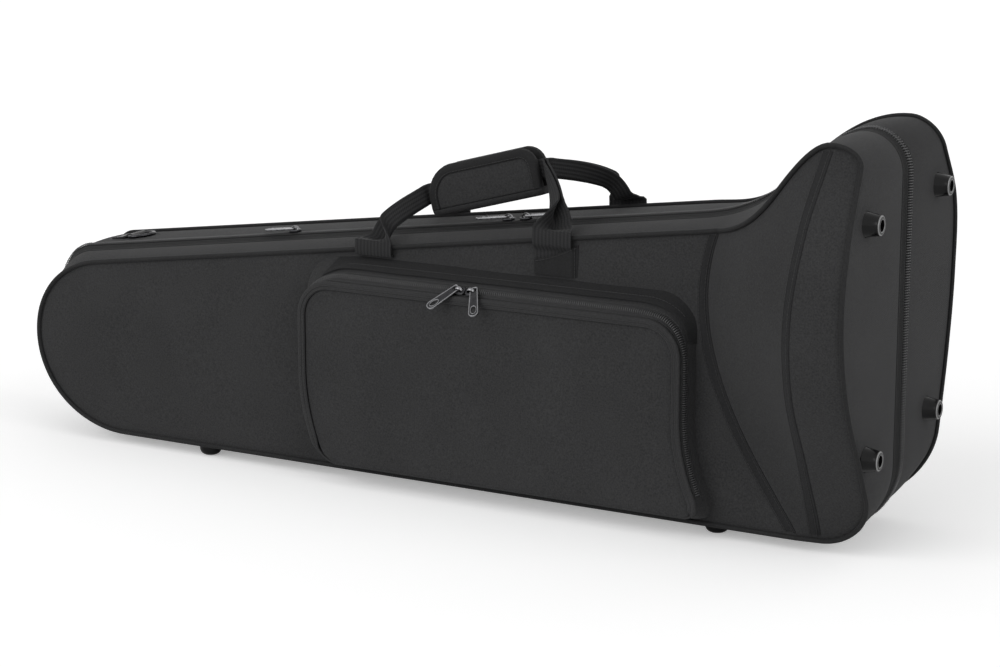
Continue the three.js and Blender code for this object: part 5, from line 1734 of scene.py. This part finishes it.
def makeSlider(name, node, body, at):
    skin = Skin()
    outline = sliderOutline()
    rings = [skin.ring([at((x * size, y * size, z)) for x, y in outline]) for size, z in slider["levels"]]
    for a, b in zip(rings, rings[1:]):
        skin.band(a, b, [float(k) for k in range(len(outline))], 0, 1)
    skin.fan(rings[0], True)
    skin.fan(rings[-1])
    radius, foot = slider["crown"], slider["height"] - slider["wire"] / 2
    section = [(math.cos(a), math.sin(a)) for a in fullTurn(12)]
    arch = []
    for a in np.linspace(-slider["archEnds"], math.pi + slider["archEnds"], 21):
        middle = np.array([-math.cos(a) * radius, 0, foot + math.sin(a) * radius])
        out = np.array([-math.cos(a), 0, math.sin(a)])
        wide = slider["bridge"] * (1 + slider["bridgeFoot"] * abs(math.cos(a)))
        ring = [middle + out * slider["bar"] * s + np.array([0, wide * c, 0]) for c, s in section]
        arch.append(skin.ring([at(spot) for spot in ring]))
    bodyFaces = len(skin.faces)
    for a, b in zip(arch, arch[1:]):
        skin.band(a, b, [float(k) for k in range(len(section))], 0, 1)
    skin.fan(arch[0], True)
    skin.fan(arch[-1])
    piece = joinSkin(skin, name, "metal", body, node, "gun_metal")
    piece.data.materials.append(materials["brightMetal"])
    for polygon in piece.data.polygons:
        polygon.material_index = int(polygon.index >= bodyFaces)


def pullContour(inset):
    head, tip = pull["head"] - inset, pull["tip"] - inset
    back, front = -pull["eye"][0] + inset, pull["length"] - pull["eye"][0] - inset
    headRound, tipRound = head * pull["headRound"], tip * pull["tipRound"]
    corners = (
        (front - tipRound, -tip + tipRound, tipRound, -0.5),
        (front - tipRound, tip - tipRound, tipRound, 0.0),
        (back + headRound, head - headRound, headRound, 0.5),
        (back + headRound, -head + headRound, headRound, 1.0),
    )
    contour = []
    for x, y, r, start in corners:
        angles = np.linspace(start * math.pi, (start + 0.5) * math.pi, 8)
        contour += [(x + r * math.cos(a), y + r * math.sin(a)) for a in angles]
    return contour


def ovalContour(x, long, wide):
    return [(x + long * math.cos(a), -wide * math.sin(a)) for a in fullTurn(20)]


# A flat plate with holes from a filled curve, its edges rounded.
def plate(contours, thick, bevel):
    curve = bpy.data.curves.new("plate", "CURVE")
    curve.dimensions = "2D"
    curve.fill_mode = "BOTH"
    curve.extrude = thick / 2 - bevel
    curve.bevel_depth = bevel
    curve.bevel_resolution = 1
    curve.offset = -bevel
    for contour in contours:
        spline = curve.splines.new("POLY")
        spline.points.add(len(contour) - 1)
        for point, (x, y) in zip(spline.points, contour):
            point.co = (x, y, 0, 1)
        spline.use_cyclic_u = True
    obj = addObject("plate", curve)
    mesh = meshFrom(obj)
    bpy.data.objects.remove(obj)
    bpy.data.curves.remove(curve)
    return mesh


def makePull(name, node, body, at, turn):
    rise = pull["ride"] * slider["crown"]
    leg = math.copysign(math.sqrt(slider["crown"] ** 2 - rise ** 2), math.cos(turn))
    seat = np.array([leg, 0, slider["height"] - slider["wire"] / 2 + rise])
    c, s = math.cos(turn), math.sin(turn)
    eye = ovalContour(0, *pull["eye"][1:])
    hole = ovalContour(*pull["hole"])
    collar = (pull["hole"][0], pull["hole"][1] + pull["collar"], pull["hole"][2] + pull["collar"])
    layers = (
        plate([pullContour(pull["inset"]), eye, hole], pull["thick"], pull["bevel"]),
        plate([pullContour(0.0), pullContour(pull["rim"])[::-1]], pull["rimThick"], pull["bevel"]),
        plate([ovalContour(*collar)[::-1], hole], pull["rimThick"], pull["bevel"]),
    )
    bm = bmesh.new()
    for n, layer in enumerate(layers):
        layer.polygons.foreach_set("material_index", [min(n, 1)] * len(layer.polygons))
        bm.from_mesh(layer)
        bpy.data.meshes.remove(layer)
    bmesh.ops.remove_doubles(bm, verts=bm.verts, dist=0.0005)
    bmesh.ops.recalc_face_normals(bm, faces=bm.faces)
    for v in bm.verts:
        x, y, z = v.co
        v.co = toRow(at(seat + np.array([x * c - y * s, x * s + y * c, z])))
    mesh = bpy.data.meshes.new(name)
    bm.to_mesh(mesh)
    bm.free()
    mesh.materials.append(materials["metal"])
    mesh.materials.append(materials["brightMetal"])
    settle(addObject(name, mesh), body, [node], "gun_metal")


def mainFrame(x):
    origin = np.array([x, 0, topHeight(partingEdge, x)]) + zipUp * slider["clear"]
    return frameAt(origin, zipAlong, (0, 1, 0), zipUp)


def pocketFrame(x):
    slant = math.atan2(pocket["topDrop"], pocket["depth"])
    up = np.array([0, -math.sin(slant), math.cos(slant)])
    share = 0.8
    zipPlace = onFace(x, pocket["top"] - pocket["topDrop"] * share, pocket["depth"] * share)
    origin = zipPlace + up * slider["clear"]
    return frameAt(origin, (1, 0, 0), (0, math.cos(slant), math.sin(slant)), up)


for side, (x, turn) in mainTurn.items():
    makeSlider(side + "Slider", f"main_{side}_slider", side + "_slider", mainFrame(x))
    makePull(side + "Pull", f"main_{side}_pull", side + "_pull", mainFrame(x), turn)
for side, (x, turn) in pocketTurn.items():
    makeSlider(f"pocketSlider{side.title()}", f"pocket_{side}_slider", "pocket_slider_" + side, pocketFrame(x))
    makePull(f"pocketPull{side.title()}", f"pocket_{side}_pull", "pocket_pull_" + side, pocketFrame(x), turn)
print("sliders and pulls made")

# Ring for a shoulder strap, held by a folded leather tab on the rear half's top

strapRing = {
    "wire": 1.9, "width": 30.0, "reach": 19.0, "lift": 1.2, "clear": 0.3, "corner": 1.5, "steps": 40,
    "sides": 14,
}
# Places on the tab are lengths from its sewn end and heights over the case.
ringTab = {
    "fromTip": 50.0, "length": 27.0, "depth": 36.0, "width": 24.0, "thick": 1.1, "loop": 2.55, "corner": 1.6,
    "edge": 0.25, "ribs": 9, "sewnHalf": 9.5,
    "under": ((0.0, 0.95), (8.0, 0.95), (18.0, 0.95), (25.0, 0.8), (29.2, 0.5)),
    "over": ((26.5, 4.9), (22.0, 3.4), (16.0, 2.35), (9.0, 2.2), (3.0, 2.15)),
    "endSeams": ((5.5, 2.85), (20.0, 3.55)), "sideSeam": ((5.5, 2.85), (9, 2.8), (16, 2.95), (20, 3.5)),
}


def rearTop(x, away, height):
    deep = narrowDepth(halves["rear"], x)
    z = lerp(topHeight(partingEdge, x), topHeight(rearEdge, x), (away - 1) / (deep - 1))
    return np.array([x, away, z]) + zipUp * height


def makeStrapRing():
    half, wire = strapRing["width"] / 2, strapRing["wire"]
    start = ringTab["fromTip"] + ringTab["length"] + wire + strapRing["clear"]
    origin = rearTop(start, ringTab["depth"], wire + strapRing["lift"])
    at = frameAt(origin, zipAlong, (0, 1, 0), zipUp)
    straight = half - strapRing["corner"]
    bend = strapRing["reach"] - wire * 2
    turns = np.linspace(math.pi / 2, -math.pi / 2, strapRing["steps"])
    path = [(0.0, y) for y in np.linspace(-straight, straight, 9)]
    path += [(wire * 2 + bend * math.cos(a), half * math.sin(a)) for a in turns]
    centres, normals = [], []
    for k, (x, y) in enumerate(path):
        ahead, behind = path[(k + 1) % len(path)], path[k - 1]
        along = unit(np.array([ahead[0] - behind[0], ahead[1] - behind[1]]))
        centres.append(at((x, y, 0)))
        normals.append(at((along[1], -along[0], 0)) - at((0, 0, 0)))
    sections = tubeSections(centres, normals, wire, strapRing["sides"], at((0, 0, 1)) - at((0, 0, 0)))
    piece = sweep("strapRing", sections, "metal", [float(n) for n in range(strapRing["sides"])], closed=True)
    settle(piece, "shoulder_ring", ["strap_ring"], "gun_metal")


def makeRingTab():
    alongBar = ringTab["length"] + strapRing["wire"] + strapRing["clear"]
    overBar = strapRing["wire"] + strapRing["lift"]
    loop, turns = ringTab["loop"], np.linspace(0.25, math.pi - 0.1, 10)
    bend = [(alongBar + loop * math.sin(a), overBar - loop * math.cos(a)) for a in turns]
    line = np.array([*ringTab["under"], *bend, *ringTab["over"]])
    spread = np.linspace(-1, 1, ringTab["ribs"])
    sections = []
    for k, middle in enumerate(line):
        along = unit(line[min(k + 1, len(line) - 1)] - line[max(k - 1, 0)])
        normal = np.array([-along[1], along[0]])
        ends = min(k, len(line) - 1 - k) / 2
        half = ringTab["width"] / 2 - (ringTab["corner"] * (1 - ends) ** 2 if ends < 1 else 0)
        section = []
        for face, across in ((1, spread), (-1, spread[::-1])):
            x, h = middle + face * normal * ringTab["thick"] / 2
            for s in across:
                height = h - face * ringTab["edge"] * abs(s) ** 6
                section.append(rearTop(ringTab["fromTip"] + x, ringTab["depth"] + half * s, height))
        sections.append(section)
    piece = sweep("ringTab", sections, "leather", [3.0 * n for n in range(ringTab["ribs"] * 2)])
    settle(piece, "base", ["ring_tab"], "leatherette")
    flat = (ringTab["width"] / 1000, runAlong(line)[-1] / 1000)
    across = np.linspace(ringTab["depth"] - ringTab["sewnHalf"], ringTab["depth"] + ringTab["sewnHalf"], 14)
    rows = [[(x, y, h) for y in across] for x, h in ringTab["endSeams"]]
    rows += [[(x, y, h) for x, h in ringTab["sideSeam"]] for y in (across[0], across[-1])]
    for row in rows:
        places = [rearTop(ringTab["fromTip"] + x, y, h) for x, y, h in row]
        addRow("stitch", "base", places, [zipUp] * len(row))


makeStrapRing()
makeRingTab()
print("strap ring and tab made")

# Straps that hold the bell inside: a band across the well and a closing flap over it

# The flap ends a share past the middle, lies a lift over the band and sags a little less.
holdStrap = {
    "width": 25.0, "thick": 1.5, "sag": 1.3, "hem": 6.0, "hemThick": 0.35, "corner": 0.5, "cornerReach": 1.5,
    "edge": 0.25, "flapEnd": 0.12, "flapLift": 1.75, "flapSag": 0.9, "steps": 28, "ribs": 9,
}


def makeHoldStrap(name, node):
    low, high = (np.array(corner) * 1000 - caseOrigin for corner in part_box(node))
    width, thick, reach = holdStrap["width"], holdStrap["thick"], holdStrap["cornerReach"]
    long = (high[2] - low[2] - width * zipAlong[2]) / zipAlong[0]
    middle = (low + high) / 2
    spread = np.linspace(-1, 1, holdStrap["ribs"])
    ribs = list(np.linspace(0, width, holdStrap["ribs"]))
    band = ("Band", 0.5, 0.0, 1.0, "rearFillingBell")
    flap = ("Flap", holdStrap["flapEnd"], holdStrap["flapLift"], holdStrap["flapSag"], name + "Band")
    for part, end, lift, sag, below in (band, flap):
        sections = []
        for t in np.linspace(-0.5, end, holdStrap["steps"]):
            wave = holdStrap["sag"] * math.cos(math.pi * t) * sag
            near = min(t + 0.5, end - t) * long
            hem = holdStrap["hemThick"] if near < holdStrap["hem"] else 0.0
            half = width / 2 - (holdStrap["corner"] * (1 - near / reach) ** 2 if near < reach else 0)
            section = []
            for w, y in [(w, -1) for w in spread] + [(w, 1) for w in spread[::-1]]:
                off = y * (thick / 2 + hem * (y < 0) - holdStrap["edge"] * abs(w) ** 8)
                side = zipAlong * half * w + zipUp * t * long
                section.append(middle + side + np.array([0, wave - lift + off, 0]))
            sections.append(section)
        piece = sweep(name + part, sections, "webbing", ribs + [width + thick + v for v in ribs])
        settle(piece, "base", [node], "webbing")
        flat = (width / 1000, long * (end + 0.5) / 1000)


makeHoldStrap("bellStrap", "bell_hold_strap")
makeHoldStrap("neckStrap", "neck_hold_strap")
print("inner straps made")

# Carried-over CAD nodes: each keeps its form and takes the finish of its slot

slotFinishes = {
    "cover": "coverCloth", "dark_cloth": "seamCloth", "zip_tape": "zipCloth", "webbing": "webbing",
    "plush": "plush",
    "gloss_plastic": "gloss", "gun_metal": "metal", "leatherette": "leather",
}
for part in frame["record"]["subparts"]:
    node = frame["nodes"][part["node"]]
    node.data.materials.clear()
    node.data.materials.append(materials[slotFinishes[part["material_slot"]]])

rowSlots = {"coil": "zip_tape", "smallCoil": "zip_tape", "stitch": "dark_cloth"}
for (kind, body), paths in rowPaths.items():
    layRows(kind, body, paths, rowSlots[kind])
print("stitches and coils laid")

# Stage

makeCamera()
for lampName in ("key", "fill"):
    makeLamp(lampName, **studio[lampName])


def makeStage():
    mesh = bpy.data.meshes.new("floor")
    reach, height = 30, -0.0003
    corners = ((-reach, -reach), (reach, -reach), (reach, reach), (-reach, reach))
    mesh.from_pydata([(x, y, height) for x, y in corners], [], [(0, 1, 2, 3)])
    floor = addObject("floor", mesh)
    m = Mat("paperFloor")
    m.set(Base_Color=studio["floor"], Roughness=0.9, Specular_IOR_Level=0.1)
    seen = m.node("ShaderNodeLightPath")
    glow = m.mixColor(seen, (0.0, 0.0, 0.0), (1.0, 1.0, 1.0))
    m.set(Emission_Color=glow, Emission_Strength=studio["paperGlow"])
    mesh.materials.append(m.material)
    floor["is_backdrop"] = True
    world = bpy.data.worlds.new("studioWorld")
    world.use_nodes = True
    scene.world = world
    tree = world.node_tree
    background = tree.nodes["Background"]
    path = tree.nodes.new("ShaderNodeLightPath")
    seen = tree.nodes.new("ShaderNodeMath")
    seen.operation = "MAXIMUM"
    tree.links.new(path.outputs["Is Camera Ray"], seen.inputs[0])
    tree.links.new(path.outputs["Is Glossy Ray"], seen.inputs[1])
    strength = tree.nodes.new("ShaderNodeMix")
    strength.data_type = "FLOAT"
    strength.inputs[2].default_value = studio["world"]
    strength.inputs[3].default_value = 1.0
    tree.links.new(seen.outputs[0], strength.inputs[0])
    tree.links.new(strength.outputs[0], background.inputs["Strength"])
    background.inputs["Color"].default_value = (1, 1, 1, 1)


makeStage()
scene.view_settings.view_transform = "Standard"

dressed = [list(corner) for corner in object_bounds()]
print("scene ready")
